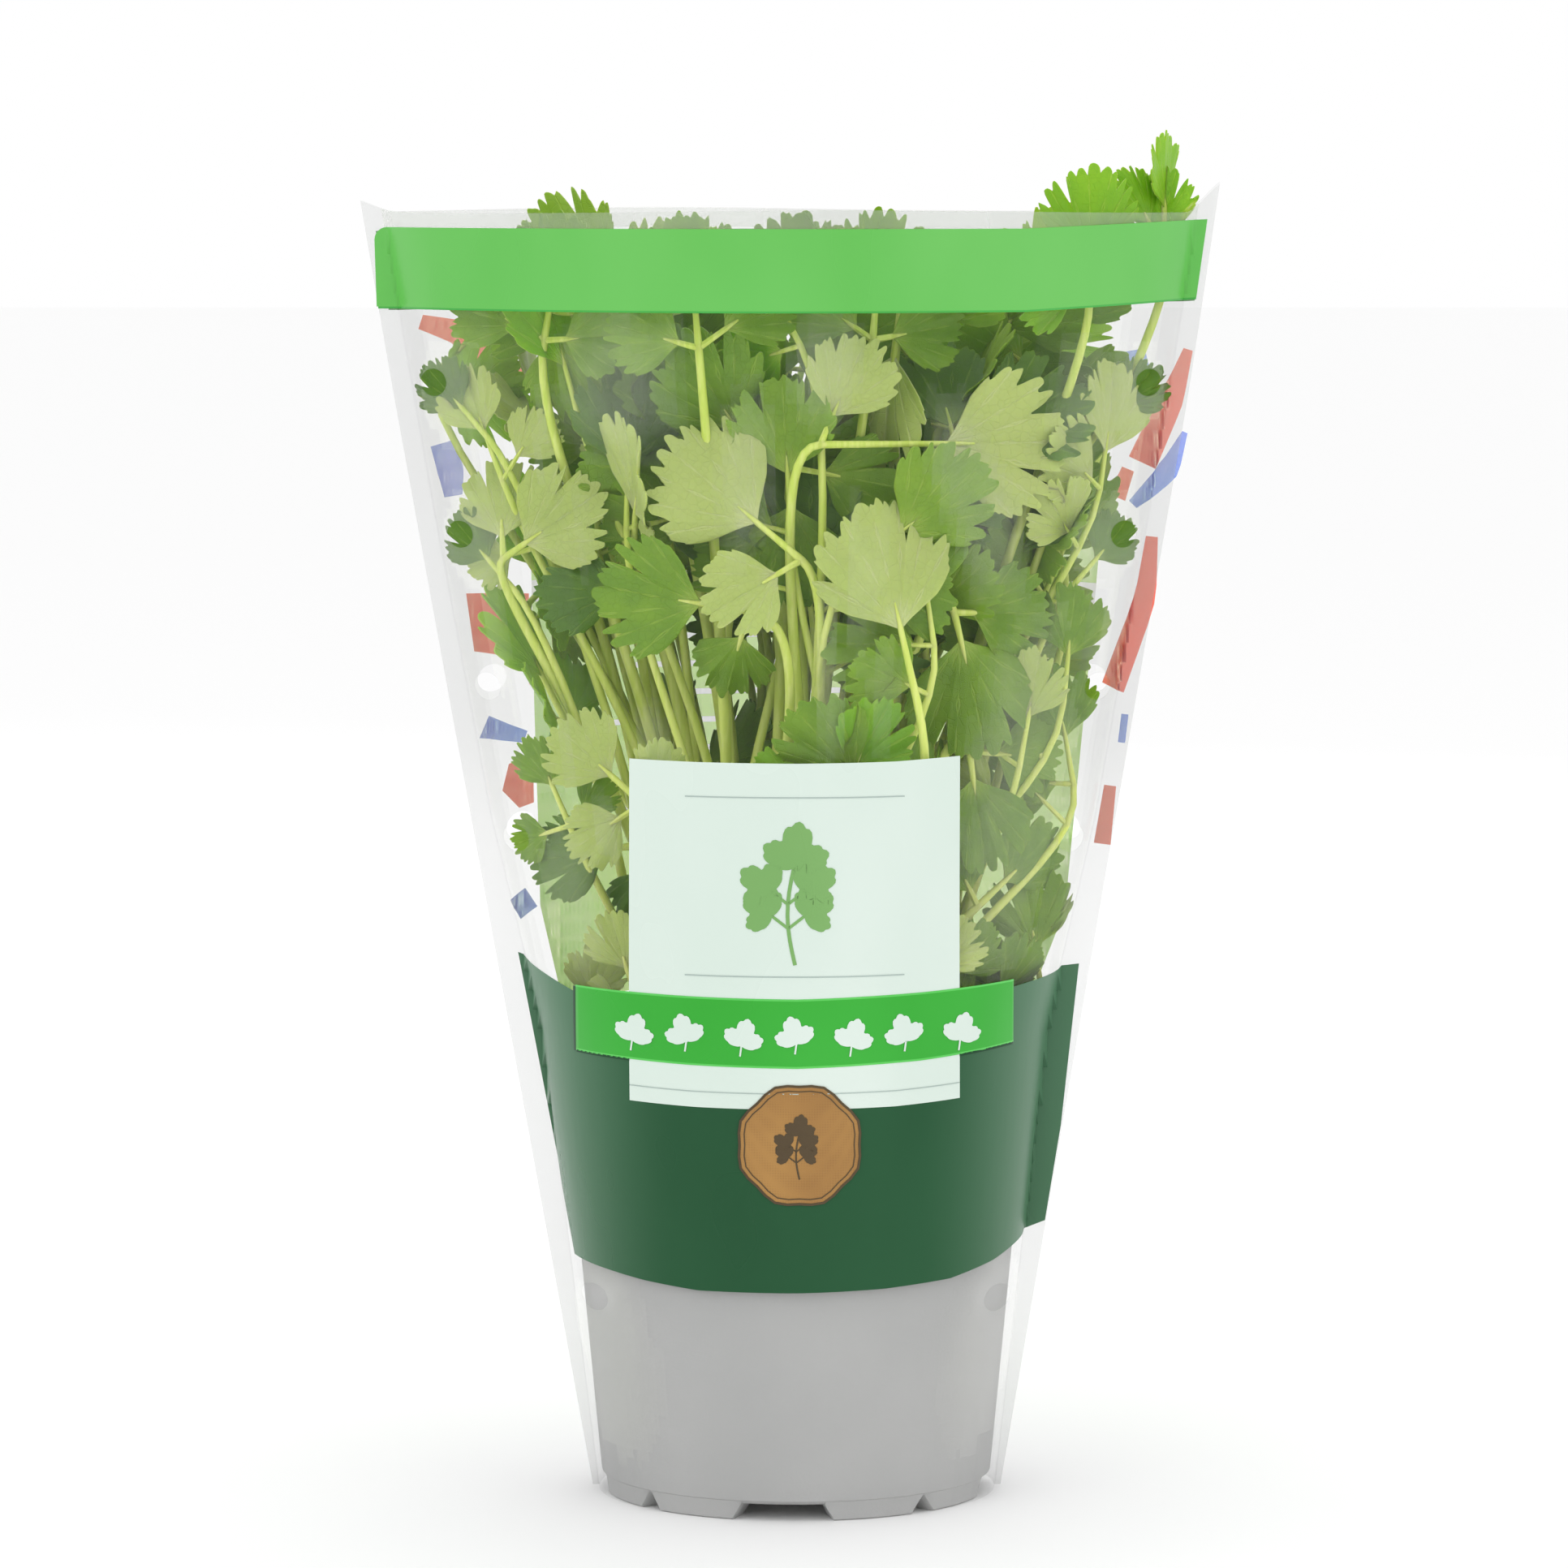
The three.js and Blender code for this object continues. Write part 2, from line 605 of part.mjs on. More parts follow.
// The leaves that fill the rest of the sleeve, spread round it by the golden angle and drawn from a
// stream for each try: those next to the film lie along it, those further in look up.
function fillerPlan(index, attempt, footOf) {
  const random = randomStream(FILLER.seed + FILLER.seedStep * index + FILLER.tryStep * attempt);
  const share = ((index + 0.5) / FILLER.count) ** FILLER.heightPower;
  const turn = index * GOLDEN_ANGLE + draw(FILLER.turn, random);
  const z = mix(...FILLER.height, share) + draw(FILLER.heightSpread, random);
  const s = sleeveSection(z);
  const spread = mix(...FILLER.spread, Math.sqrt(random()));
  const x = s.middle + spread * s.halfWidth * Math.cos(turn);
  const y = (spread * Math.sin(turn) + FILLER.backward) * depthAt(s, x, 0);
  const outward = filmOutward(x, y, z);
  const rightward = UP.clone().cross(outward);
  const lie = mix(...FILLER.lie, spread);
  const face = outward.clone().multiplyScalar(lie).addScaledVector(UP, 1 - lie);
  face.addScaledVector(rightward, draw(FILLER.tilt, random));
  const heading = draw(FILLER.heading, random);
  const forward = outward.clone().multiplyScalar(1 - lie).addScaledVector(UP, lie);
  forward.applyAxisAngle(face.clone().normalize(), heading);
  const leaf = {
    at: new THREE.Vector3(x, y, z),
    forward,
    face,
    length: draw(FILLER.length, random),
    stalk: draw(FILLER.stalk, random),
    bend: draw(FILLER.bend, random),
    sides: random() < FILLER.pairs ? [0.9, 0.84] : [0.88],
  };
  return planLeaf(leaf, footOf(leaf.at, attempt), random);
}

// Places in the compost where stems can stand, in a sunflower pattern. A stem takes the free place
// nearest to under its leaf, or one of the next for a later try.
const ROOTS = Array.from({ length: ROOT_COUNT }, (_, k) => {
  const radius = ROOT_SPACING * Math.sqrt(k + 0.5);
  const turn = k * GOLDEN_ANGLE;
  return { x: radius * Math.cos(turn), y: radius * Math.sin(turn), taken: false };
});

function nearestRoot(at, attempt) {
  const away = (root) => Math.hypot(root.x - ROOT_AIM.x * at.x, root.y - ROOT_AIM.y * at.y);
  const free = ROOTS.filter((root) => !root.taken).sort((a, b) => away(a) - away(b));
  return free[attempt % Math.min(ROOT_CHOICES, free.length)];
}

// True where every corner of a solid is between the sheets, above the compost or in its hole, and
// inside the pot's wall below the rim.
function isInsideSleeve(solid, plan) {
  const { vertProperties } = solid.getMesh();
  for (let i = 0; i < vertProperties.length; i += 3) {
    const [x, y, z] = vertProperties.slice(i, i + 3);
    const overhang = MOUTH_SPREAD * Math.max(0, z - SLEEVE_TOP);
    const s = sleeveSection(Math.min(z, SLEEVE_TOP));
    if (Math.abs(y) > depthAt(s, x, FILM + FILM_CLEARANCE - overhang)) {
      return false;
    }
    const wall = potInnerRadius(Math.min(z, POT_HEIGHT - RIM_HEIGHT)) - WALL_CLEARANCE;
    if (z < POT_HEIGHT + WALL_CLEARANCE && Math.hypot(x, y) > wall) {
      return false;
    }
    const fromFoot = Math.hypot(x - plan.foot.x, y - plan.foot.y);
    if (z < SOIL_TOP + 2 * SOIL_CRUMB && fromFoot > STEM_RADIUS.foot + 2 * STEM_CLEARANCE) {
      return false;
    }
  }
  return true;
}

function boxesMeet(a, b) {
  return [0, 1, 2].every((axis) => a.min[axis] <= b.max[axis] && b.min[axis] <= a.max[axis]);
}

// Grows a stem from the first try that clears the film, the pot and every stem so far.
function growStem(name, green, tries, planOf, grown, sleeve) {
  for (let attempt = 0; attempt < tries; attempt += 1) {
    const plan = planOf(attempt);
    const room = join(stemPieces(plan, STEM_CLEARANCE));
    const box = room.boundingBox();
    const clear =
      isInsideSleeve(room, plan) &&
      room.intersect(sleeve).isEmpty() &&
      grown.every((other) => !boxesMeet(box, other.box) || room.intersect(other.solid).isEmpty());
    if (clear) {
      const solid = join(stemPieces(plan, 0));
      plan.foot.taken = true;
      grown.push({ name, green, plan, solid, box: solid.boundingBox(), attempt });
      return;
    }
  }
}

function growStems(sleeve) {
  const grown = [];
  FRONT_LEAVES.forEach((entry, i) => {
    const name = "leafy_stem_front_" + String(i + 1).padStart(2, "0");
    const seed = FRONT.seed + FRONT.seedStep * i;
    const planOf = (attempt) => frontLeafPlan(entry, attempt, seed, nearestRoot);
    growStem(name, entry.green, FRONT.tries, planOf, grown, sleeve);
  });
  const greens = ["leafMid", "leafDark", "leafPale", "leafMid", "leafBright"];
  for (let i = FILLER.count - 1; i >= 0; i -= 1) {
    const name = "leafy_stem_" + String(i + 1).padStart(2, "0");
    const planOf = (attempt) => fillerPlan(i, attempt, nearestRoot);
    growStem(name, greens[i % greens.length], FILLER.tries, planOf, grown, sleeve);
  }
  return grown;
}

// ---------------------------------------------------------------- assembly

function meshOf(name, solid, colour, roughness, extra = {}) {
  const material = new THREE.MeshStandardMaterial({
    color: colour,
    roughness,
    metalness: 0,
    flatShading: true,
    ...extra,
  });
  const mesh = new THREE.Mesh(geometryFrom(solid), material);
  mesh.name = name;
  return mesh;
}

const sleeve = buildSleeve();
const stems = growStems(sleeve);
const group = new THREE.Group();
group.add(meshOf("pot", buildPot(), COLOURS.pot, 0.45));
group.add(meshOf("soil", buildSoil(stems.map((stem) => stem.plan.foot)), COLOURS.soil, 0.95));
group.add(meshOf("sleeve", sleeve, COLOURS.film, 0.15, { transparent: true, opacity: 0.35 }));
stems.forEach((stem) => group.add(meshOf(stem.name, stem.solid, COLOURS[stem.green], 0.55)));

export default group;
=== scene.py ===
"""A pot of coriander in its clear printed film sleeve: the finished look, built round the CAD frame.

Lengths are in millimetres until a mesh is made, as in the CAD model: +Z up, and the printed front
faces -Y.
"""

import math

import bmesh
import bpy
import numpy as np
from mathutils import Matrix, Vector, noise


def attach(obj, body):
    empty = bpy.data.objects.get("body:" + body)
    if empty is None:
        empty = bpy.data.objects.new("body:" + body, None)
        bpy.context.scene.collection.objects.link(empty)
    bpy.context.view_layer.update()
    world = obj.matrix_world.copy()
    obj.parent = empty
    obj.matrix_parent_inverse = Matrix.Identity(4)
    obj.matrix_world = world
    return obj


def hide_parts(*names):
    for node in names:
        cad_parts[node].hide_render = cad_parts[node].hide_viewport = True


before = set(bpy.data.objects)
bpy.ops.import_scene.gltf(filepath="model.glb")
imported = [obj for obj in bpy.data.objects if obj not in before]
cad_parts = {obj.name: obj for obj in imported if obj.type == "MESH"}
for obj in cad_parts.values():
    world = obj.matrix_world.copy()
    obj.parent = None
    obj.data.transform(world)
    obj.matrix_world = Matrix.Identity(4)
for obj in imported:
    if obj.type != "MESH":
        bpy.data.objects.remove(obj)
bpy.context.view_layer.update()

MM = 0.001
UP = np.array([0.0, 0.0, 1.0])
GOLDEN_ANGLE = math.pi * (3 - math.sqrt(5))

# ---------------------------------------------------------------- sizes that the CAD model has too

POT_HEIGHT = 97
POT_BASE_RADIUS = 40
POT_TAPER = math.radians(5.4)
POT_WALL = 1.5
POT_FLOOR = 2
RIM_RADIUS = 50.2
RIM_HEIGHT = 6
RIM_SLOPE = 1
FOOT_HEIGHT = 4.3
FOOT_RING_WIDTH = 8
FOOT_DRAFT = 0.6
FOOT_LEDGE = 0.4
NOTCH_HEIGHT = 3.4
NOTCH_COUNT = 8
NOTCH_TURN = math.radians(-94)
WIDE_NOTCH = (21, 17)  # width at its foot and at its top
SMALL_NOTCH = (6, 0.6)
DRAIN_HOLES = 6
DRAIN_RADIUS = 4
DRAIN_CIRCLE = 20
DRAIN_SIDES = 32
SOIL_TOP = 86
SOIL_CRUMB = 1.3
STEM_DEPTH = 6

SLEEVE_BOTTOM = 0.5
SLEEVE_TOP = 265.5
CAD_FILM = 0.7
LEFT_EDGE = {"foot": 42.2, "lean": 0.178, "corner": 2.5}
RIGHT_EDGE = {"foot": 42.5, "lean": 0.1675, "corner": 6.5}
# z, half width, half depth, how pointed the section is
BODY_STATIONS = np.array([
    (SLEEVE_BOTTOM, 41.4, 41.4, 0.5), (POT_HEIGHT + 0.4, 52.5, 52.5, 0.5), (140, 62.5, 52, 0.66),
    (205, 74, 50, 0.78), (275, 85.5, 47, 0.82),
])
HOLE_HEIGHTS = (43, 137, 168, 199, 230)
HOLE_RADIUS = 2.8
HOLE_INSET = 5

BLADE = 0.7
STEM_RADIUS = (1.45, 0.85)
STEM_COLLAR = 2
STEM_LEAN = 0.12
STALK_OVERLAP = 0.3
STALK_IN_BLADE = 0.2
HEEL = 0.8
LEAFLET_WIDTH = 0.88
WAVES = 3
LEAFLET_FORM = {"fold": (-0.12, 0.3), "cup": (-0.18, 0.12), "wave": (0.03, 0.09),
                "phase": (0, 2 * math.pi)}
SIDE_LEAFLET = {"angle": (58, 84), "droop": (-0.25, 0.35), "reach": (3.5, 7)}
ROOT_SPACING = 4.3
ROOT_COUNT = 46
ROOT_AIM = (0.36, 0.55)
ROOT_CHOICES = 3
SIDE_PAIR = [0.9, 0.84]  # lengths of two side leaflets against the end one's
FRONT = {"tries": 26, "shift": 0.25, "retreat": 0.8, "forward": 0.55}
FILLER = {
    "count": 26, "tries": 160, "turn": (-0.5, 0.5), "height": (128, 252), "height_power": 0.6,
    "height_spread": (-7, 7), "spread": (0.15, 0.84), "backward": 0.1, "lie": (0.15, 0.85),
    "tilt": (-0.35, 0.35), "heading": (-1.1, 1.1), "length": (19, 26), "stalk": (8, 13),
    "bend": (14, 34), "pairs": 0.7, "lone": [0.88],
}
FILLER_GREENS = ("leaf_mid", "leaf_dark", "leaf_pale", "leaf_mid", "leaf_bright")

# ---------------------------------------------------------------- small helpers


def mix(a, b, t):
    return a + (b - a) * t


# Seeds of the streams of draws: where a kind's first one starts, and how much later those of the
# next thing and the next try start.
SEEDS = {"front": (500, 31, 1), "filler": (7000, 131, 17), "curl": (77,), "stem": (40000, 97),
         "zone": (90000, 5000, 37), "hole": (71000, 53), "crumb": (31,), "haze": (4100,)}


class Stream:
    """A repeatable stream of numbers from 0 to 1, the one that places the CAD model's leaves."""

    def __init__(self, use, *counts):
        first, *steps = SEEDS[use]
        self.state = (first + sum(step * count for step, count in zip(steps, counts))) % 2**32
        for _ in range(4):
            self.next()

    def next(self):
        self.state = (self.state * 1664525 + 1013904223) % 2**32
        return self.state / 2**32

    def draw(self, span):
        return mix(*span, self.next())


def unit(v):
    return v / np.linalg.norm(v)


def turned(v, axis, angle):
    """v turned about a unit axis."""
    along = axis * np.dot(axis, v)
    return along + (v - along) * math.cos(angle) + np.cross(axis, v) * math.sin(angle)


def smoothstep(low, high, x):
    t = np.clip((x - low) / (high - low), 0, 1)
    return t * t * (3 - 2 * t)


class MeshBuilder:
    """Collects closed bodies into one mesh, with a material for each face and values for each
    vertex that the materials read."""

    def __init__(self):
        self.vertices = []
        self.faces = []
        self.face_materials = []
        self.values = {}
        self.count = 0

    def add(self, vertices, faces, material=0, **values):
        vertices = np.asarray(vertices, float)
        self.vertices.append(vertices)
        self.faces.extend([tuple(i + self.count for i in face) for face in faces])
        self.face_materials.extend([material] * len(faces) if isinstance(material, int) else material)
        for name, value in values.items():
            self.values.setdefault(name, []).append((self.count, np.asarray(value, float)))
        self.count += len(vertices)

    def finish(self, name, materials, sharp=50):
        mesh = bpy.data.meshes.new(name)
        points = np.concatenate(self.vertices) * MM
        mesh.from_pydata(points.tolist(), [], self.faces)
        mesh.polygons.foreach_set("material_index", self.face_materials)
        mesh.polygons.foreach_set("use_smooth", [True] * len(self.faces))
        for key, parts in self.values.items():
            width = parts[0][1].shape[-1] if parts[0][1].ndim == 2 else 1
            kind = "FLOAT_VECTOR" if width == 3 else "FLOAT"
            layer = mesh.attributes.new(key, kind, "POINT")
            data = np.zeros((len(points), width))
            for start, value in parts:
                data[start:start + len(value)] = value.reshape(len(value), width)
            layer.data.foreach_set("vector" if width == 3 else "value", data.ravel())
        for material in materials:
            mesh.materials.append(material)
        mesh.set_sharp_from_angle(angle=math.radians(sharp))
        mesh.update()
        piece = bpy.data.objects.new(name, mesh)
        bpy.context.scene.collection.objects.link(piece)
        return piece


def ring_faces(rings, sides):
    """Faces of a round body of rings, closed by its last two vertices: its foot's tip and its top's."""
    faces = []
    for i in range(rings - 1):
        for j in range(sides):
            a, b = i * sides + j, i * sides + (j + 1) % sides
            faces.append((a, b, b + sides, a + sides))
    last = (rings - 1) * sides
    for j in range(sides):
        after = (j + 1) % sides
        faces += [(rings * sides, after, j), (rings * sides + 1, last + j, last + after)]
    return faces


def tube(path, radii, sides):
    """A closed round bar along a path: vertices and faces."""
    path = np.asarray(path, float)
    across = np.array([1.0, 0.3, 0.1])  # any direction that no path follows
    angles = np.arange(sides) * 2 * math.pi / sides
    rings = []
    for i, point in enumerate(path):
        along = unit(path[min(i + 1, len(path) - 1)] - path[max(i - 1, 0)])
        across = unit(across - along * np.dot(across, along))
        spokes = np.outer(np.cos(angles), across) + np.outer(np.sin(angles), np.cross(along, across))
        rings.append(point + radii[i] * spokes)
    return np.concatenate(rings + [path[:1], path[-1:]]), ring_faces(len(path), sides)


# ---------------------------------------------------------------- the sleeve's form


def section(z):
    """Middle, half width, half depth and pointedness of the space between the sheets."""
    stations = BODY_STATIONS
    middle = (RIGHT_EDGE["foot"] - LEFT_EDGE["foot"] + (RIGHT_EDGE["lean"] - LEFT_EDGE["lean"]) * z) / 2
    return middle, *(np.interp(z, stations[:, 0], stations[:, k]) for k in (1, 2, 3))


def edge_x(side, z):
    """The sleeve's left (-1) or right (1) outer edge at a height."""
    edge = LEFT_EDGE if side < 0 else RIGHT_EDGE
    return side * (edge["foot"] + edge["lean"] * z)


def depth_at(x, z, margin):
    """Half depth between the sheets at a place, with a margin inside the CAD film's outside."""
    middle, half_width, half_depth, point = section(z)
    share = (x - middle) / (half_width - margin)
    return (half_depth - margin) * np.maximum(0, 1 - share * share) ** point


def film_outward(x, y, z):
    middle, half_width, half_depth, point = section(z)
    across = 2 * (x - middle) / half_width**2
    deep = abs(y / half_depth) ** (1 / point - 1) / (point * half_depth)
    return unit(np.array([across, deep * np.sign(y), 0.0]))


# ---------------------------------------------------------------- the leafy stems' plans


def leaflet_form(stream):
    return {key: stream.draw(span) for key, span in LEAFLET_FORM.items()}


def plan_leaf(leaf, foot, stream):
    """Turns a leaf's place and attitude into a plan of its stem and its leaflets."""
    forward = unit(leaf["forward"])
    face = unit(leaf["face"] - forward * np.dot(leaf["face"], forward))
    sideways = np.cross(face, forward)
    node = leaf["at"] - forward * leaf["stalk"]
    leaflets = [dict(at=leaf["at"], forward=forward, face=face, length=leaf["length"],
                     **leaflet_form(stream))]
    for i, share in enumerate(leaf["sides"]):
        side = 1 if i % 2 == 0 else -1
        angle = math.radians(stream.draw(SIDE_LEAFLET["angle"]))
        droop = stream.draw(SIDE_LEAFLET["droop"])
        outward = unit(forward * math.cos(angle) + sideways * (side * math.sin(angle)) - face * droop)
        own_face = unit(face - outward * np.dot(face, outward))
        reach = stream.draw(SIDE_LEAFLET["reach"])
        leaflets.append(dict(
            start=node - outward * STALK_OVERLAP,
            at=node + outward * reach,
            forward=outward,
            face=own_face,
            length=leaf["length"] * share,
            **leaflet_form(stream),
        ))
    return dict(foot=foot, node=node, forward=forward, bend=leaf["bend"], leaflets=leaflets)


# The front leaves: x, z, turn, length, stalk, bend, roll, depth, green, side leaflets.
# Among their greens, leaf_bright is painted light on the two leaves at the top right corner.
FRONT_LEAVES = [
    (29.5, 218.5, 0, 28, 26, 14, 0, 2.5, "leaf_pale", [0.6]),
    (20.8, 182, 103, 26, 15, 34, 8, 2.5, "leaf_pale", []),
    (-56.5, 196.5, 34, 21, 6, 8, 0, 3, "leaf_pale", [0.85]),
    (-9, 202, 140, 24, 12, 12, 12, 4, "leaf_pale", [0.7]),
    (59.5, 256, 90, 18.5, 9, 20, 0, 6, "leaf_bright", [0.8]),
    (75.5, 265.5, 92, 15.5, 12, 18, 48, 5, "leaf_bright", []),
    (17.5, 234, -98, 24, 8, 16, 55, 4, "leaf_pale", []),
    (-19, 187, 172, 22, 10, 18, -10, 4, "leaf_mid", [0.7]),
    (0, 205, -92, 22, 8, 24, 0, 5, "leaf_mid", [0.75]),
    (32, 178, -76, 24, 6, 16, 0, 3, "leaf_mid", [0.8]),
    (-38, 150, 140, 16, 9, 20, 10, 3, "leaf_pale", [0.8]),
    (-41, 133, 190, 16, 8, 16, 0, 4, "leaf_dark", [0.8]),
    (44, 128, 40, 16, 8, 14, 15, 4, "leaf_mid", [0.8]),
    (-35, 113, 110, 12, 6, 8, 0, 3, "leaf_pale", [0.7]),
    (-50, 246, 80, 19, 8, 24, 0, 5, "leaf_mid", [0.85, 0.8]),
    (-20, 246, 95, 19, 8, 24, 0, 6, "leaf_mid", [0.85, 0.8]),
    (16, 246, 85, 19, 8, 24, 0, 6, "leaf_mid", [0.9, 0.8]),
    (-48, 240, -75, 18, 6, 16, 10, 5, "leaf_mid", [0.8]),
    (36, 148, -82, 19, 6, 16, 0, 5, "leaf_mid", [0.8]),
]


def facing_leaf(x, z, turn, roll, depth, side=-1):
    """Place and attitude of a leaf that lies along the front (-1) or back (1) sheet."""
    sheet = side * depth_at(x, z, CAD_FILM)
    outward = unit(mix(film_outward(x, sheet, z), np.array([0, side, 0]), FRONT["forward"]))
    rightward = np.cross(UP, outward)
    turn = math.radians(turn)
    forward = rightward * math.cos(turn) + UP * math.sin(turn)
    face = turned(outward, forward, math.radians(roll))
    return dict(at=np.array([x, sheet - side * depth, z]), forward=forward, face=face)


def front_leaf_plan(index, attempt):
    stream = Stream("front", index, attempt)
    x, z, turn, length, stalk, bend, roll, depth, _, sides = FRONT_LEAVES[index]
    x += FRONT["shift"] * attempt * (stream.next() - 0.5)
    z += FRONT["shift"] * attempt * (stream.next() - 0.5)
    leaf = facing_leaf(x, z, turn, roll, depth + FRONT["retreat"] * attempt)
    leaf.update(length=length, stalk=stalk, bend=bend, sides=sides)
    return plan_leaf(leaf, nearest_root(leaf["at"], attempt), stream)


def filler_plan(index, attempt):
    stream = Stream("filler", index, attempt)
    share = ((index + 0.5) / FILLER["count"]) ** FILLER["height_power"]
    turn = index * GOLDEN_ANGLE + stream.draw(FILLER["turn"])
    z = mix(*FILLER["height"], share) + stream.draw(FILLER["height_spread"])
    middle, half_width, _, _ = section(z)
    spread = mix(*FILLER["spread"], math.sqrt(stream.next()))
    x = middle + spread * half_width * math.cos(turn)
    y = (spread * math.sin(turn) + FILLER["backward"]) * depth_at(x, z, 0)
    outward = film_outward(x, y, z)
    rightward = np.cross(UP, outward)
    lie = mix(*FILLER["lie"], spread)
    face = outward * lie + UP * (1 - lie) + rightward * stream.draw(FILLER["tilt"])
    heading = stream.draw(FILLER["heading"])
    forward = turned(outward * (1 - lie) + UP * lie, unit(face), heading)
    leaf = dict(at=np.array([x, y, z]), forward=forward, face=face)
    leaf.update({key: stream.draw(FILLER[key]) for key in ("length", "stalk", "bend")})
    leaf["sides"] = SIDE_PAIR if stream.next() < FILLER["pairs"] else FILLER["lone"]
    return plan_leaf(leaf, nearest_root(leaf["at"], attempt), stream)


def root_at(k):
    """The place of a root in the compost: on a spiral, at even distances."""
    away, turn = ROOT_SPACING * math.sqrt(k + 0.5), k * GOLDEN_ANGLE
    return dict(x=away * math.cos(turn), y=away * math.sin(turn), taken=False)


ROOTS = [root_at(k) for k in range(ROOT_COUNT)]


def nearest_root(at, attempt):
    def away(root):
        return math.hypot(root["x"] - ROOT_AIM[0] * at[0], root["y"] - ROOT_AIM[1] * at[1])

    free = sorted((root for root in ROOTS if not root["taken"]), key=away)
    return free[attempt % min(ROOT_CHOICES, len(free))]


def blade_points(leaflet, angle, reach, ripple=0.0):
    """Points of a leaflet's middle surface at angles from its midrib and reaches along them."""
    angle, reach = np.broadcast_arrays(np.asarray(angle, float), np.asarray(reach, float))
    sideways = np.cross(leaflet["face"], leaflet["forward"])
    lift = leaflet["fold"] * reach * np.abs(np.sin(angle)) + leaflet["cup"] * reach**2
    lift = lift + leaflet["wave"] * reach * np.sin(WAVES * angle + leaflet["phase"]) + ripple
    along = (reach * np.cos(angle))[..., None] * leaflet["forward"]
    across = (LEAFLET_WIDTH * reach * np.sin(angle))[..., None] * sideways
    return leaflet["at"] + leaflet["length"] * (along + across + lift[..., None] * leaflet["face"])


CAD_TIP = math.radians(1)  # where on the end leaflet's tip a plan is compared with the solid
TIP_MATCH = 0.1  # how near a corner of the solid it has to be


def grown_plans():
    """The plan of each leafy stem that the CAD model holds, found by its end leaflet's tip."""
    jobs = [(f"leafy_stem_front_{i + 1:02d}", entry[8], FRONT["tries"], front_leaf_plan, i)
            for i, entry in enumerate(FRONT_LEAVES)]
    for i in reversed(range(FILLER["count"])):
        green = FILLER_GREENS[i % len(FILLER_GREENS)]
        jobs.append((f"leafy_stem_{i + 1:02d}", green, FILLER["tries"], filler_plan, i))
    grown = []
    for name, green, tries, planner, index in jobs:
        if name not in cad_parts:
            continue
        corners = np.array([v.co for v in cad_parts[name].data.vertices]) / MM
        for attempt in range(tries):
            plan = planner(index, attempt)
            last = plan["leaflets"][0]
            tip = blade_points(last, CAD_TIP, 1.0) + last["face"] * BLADE / 2
            if np.linalg.norm(corners - tip, axis=1).min() < TIP_MATCH:
                plan["foot"]["taken"] = True
                grown.append((name, green, plan))
                break
        else:
            print("NO PLAN FOUND FOR", name)
    return grown


# ---------------------------------------------------------------- materials


# Light that comes through a thin sheet: the sockets for film and ink.
THIN_SHEET = {"Subsurface_Radius": (1, 1, 1), "Subsurface_Scale": 0.0006}
LEAF_TISSUE = {"Subsurface_Radius": (1.0, 1.2, 0.3)}


def material(name, colour, roughness, **sockets):
    """A material with one Principled shader, whose sockets are named with _ for a space, and the
    graph of its nodes."""
    made = bpy.data.materials.new(name)
    made.use_nodes = True
    shader = made.node_tree.nodes["Principled BSDF"]
    shader.inputs["Base Color"].default_value = (*colour, 1)
    shader.inputs["Roughness"].default_value = roughness
    for key, value in sockets.items():
        shader.inputs[key.replace("_", " ")].default_value = value
    return made, Graph(made.node_tree, shader)


class Graph:
    """Short names for the nodes that feed a material's shader."""

    def __init__(self, tree, shader):
        self.nodes, self.links, self.shader = tree.nodes, tree.links, shader

    def node(self, kind, output=0, inputs=(), **settings):
        """A new node's output. inputs are pairs of a socket and what it gets: a value or a link."""
        made = self.nodes.new("ShaderNode" + kind)
        for key, value in settings.items():
            setattr(made, key, value)
        for key, value in inputs:
            if isinstance(value, bpy.types.NodeSocket):
                self.links.new(value, made.inputs[key])
            else:
                made.inputs[key].default_value = value
        return made.outputs if output is None else made.outputs[output]

    def give(self, socket, value):
        self.links.new(value, self.shader.inputs[socket])

    def attribute(self, name, output="Fac"):
        return self.node("Attribute", output, attribute_name=name)

    def place(self):
        return self.node("TexCoord", "Object")

    def math(self, operation, a, b=0.0):
        return self.node("Math", inputs=((0, a), (1, b)), operation=operation)

    def ramp(self, value, low, high, to_low=0.0, to_high=1.0):
        spans = (("From Min", low), ("From Max", high), ("To Min", to_low), ("To Max", to_high))
        return self.node("MapRange", inputs=(("Value", value), *spans), interpolation_type="SMOOTHSTEP")

    def blend(self, share, a, b):
        ends = [c if isinstance(c, bpy.types.NodeSocket) else (*c, 1) for c in (a, b)]
        return self.node("Mix", 2, ((0, share), (6, ends[0]), (7, ends[1])), data_type="RGBA")

    def noise(self, scale, detail=2.0, roughness=0.5, stretch=None, vector=None):
        source = vector or self.place()
        if stretch:
            source = self.node("Mapping", inputs=(("Vector", source), ("Scale", stretch)))
        sockets = (("Vector", source), ("Scale", scale), ("Detail", detail), ("Roughness", roughness))
        return self.node("TexNoise", "Fac", sockets)

    def cells(self, feature, scale, vector, *more):
        sockets = (("Vector", vector), ("Scale", scale), *more)
        return self.node("TexVoronoi", "Distance", sockets, feature=feature)

    def bump(self, height, strength, distance):
        sockets = (("Height", height), ("Strength", strength), ("Distance", distance))
        self.give("Normal", self.node("Bump", inputs=sockets))


VEIN_SPREAD = math.radians(17)  # angle between neighbouring main veins


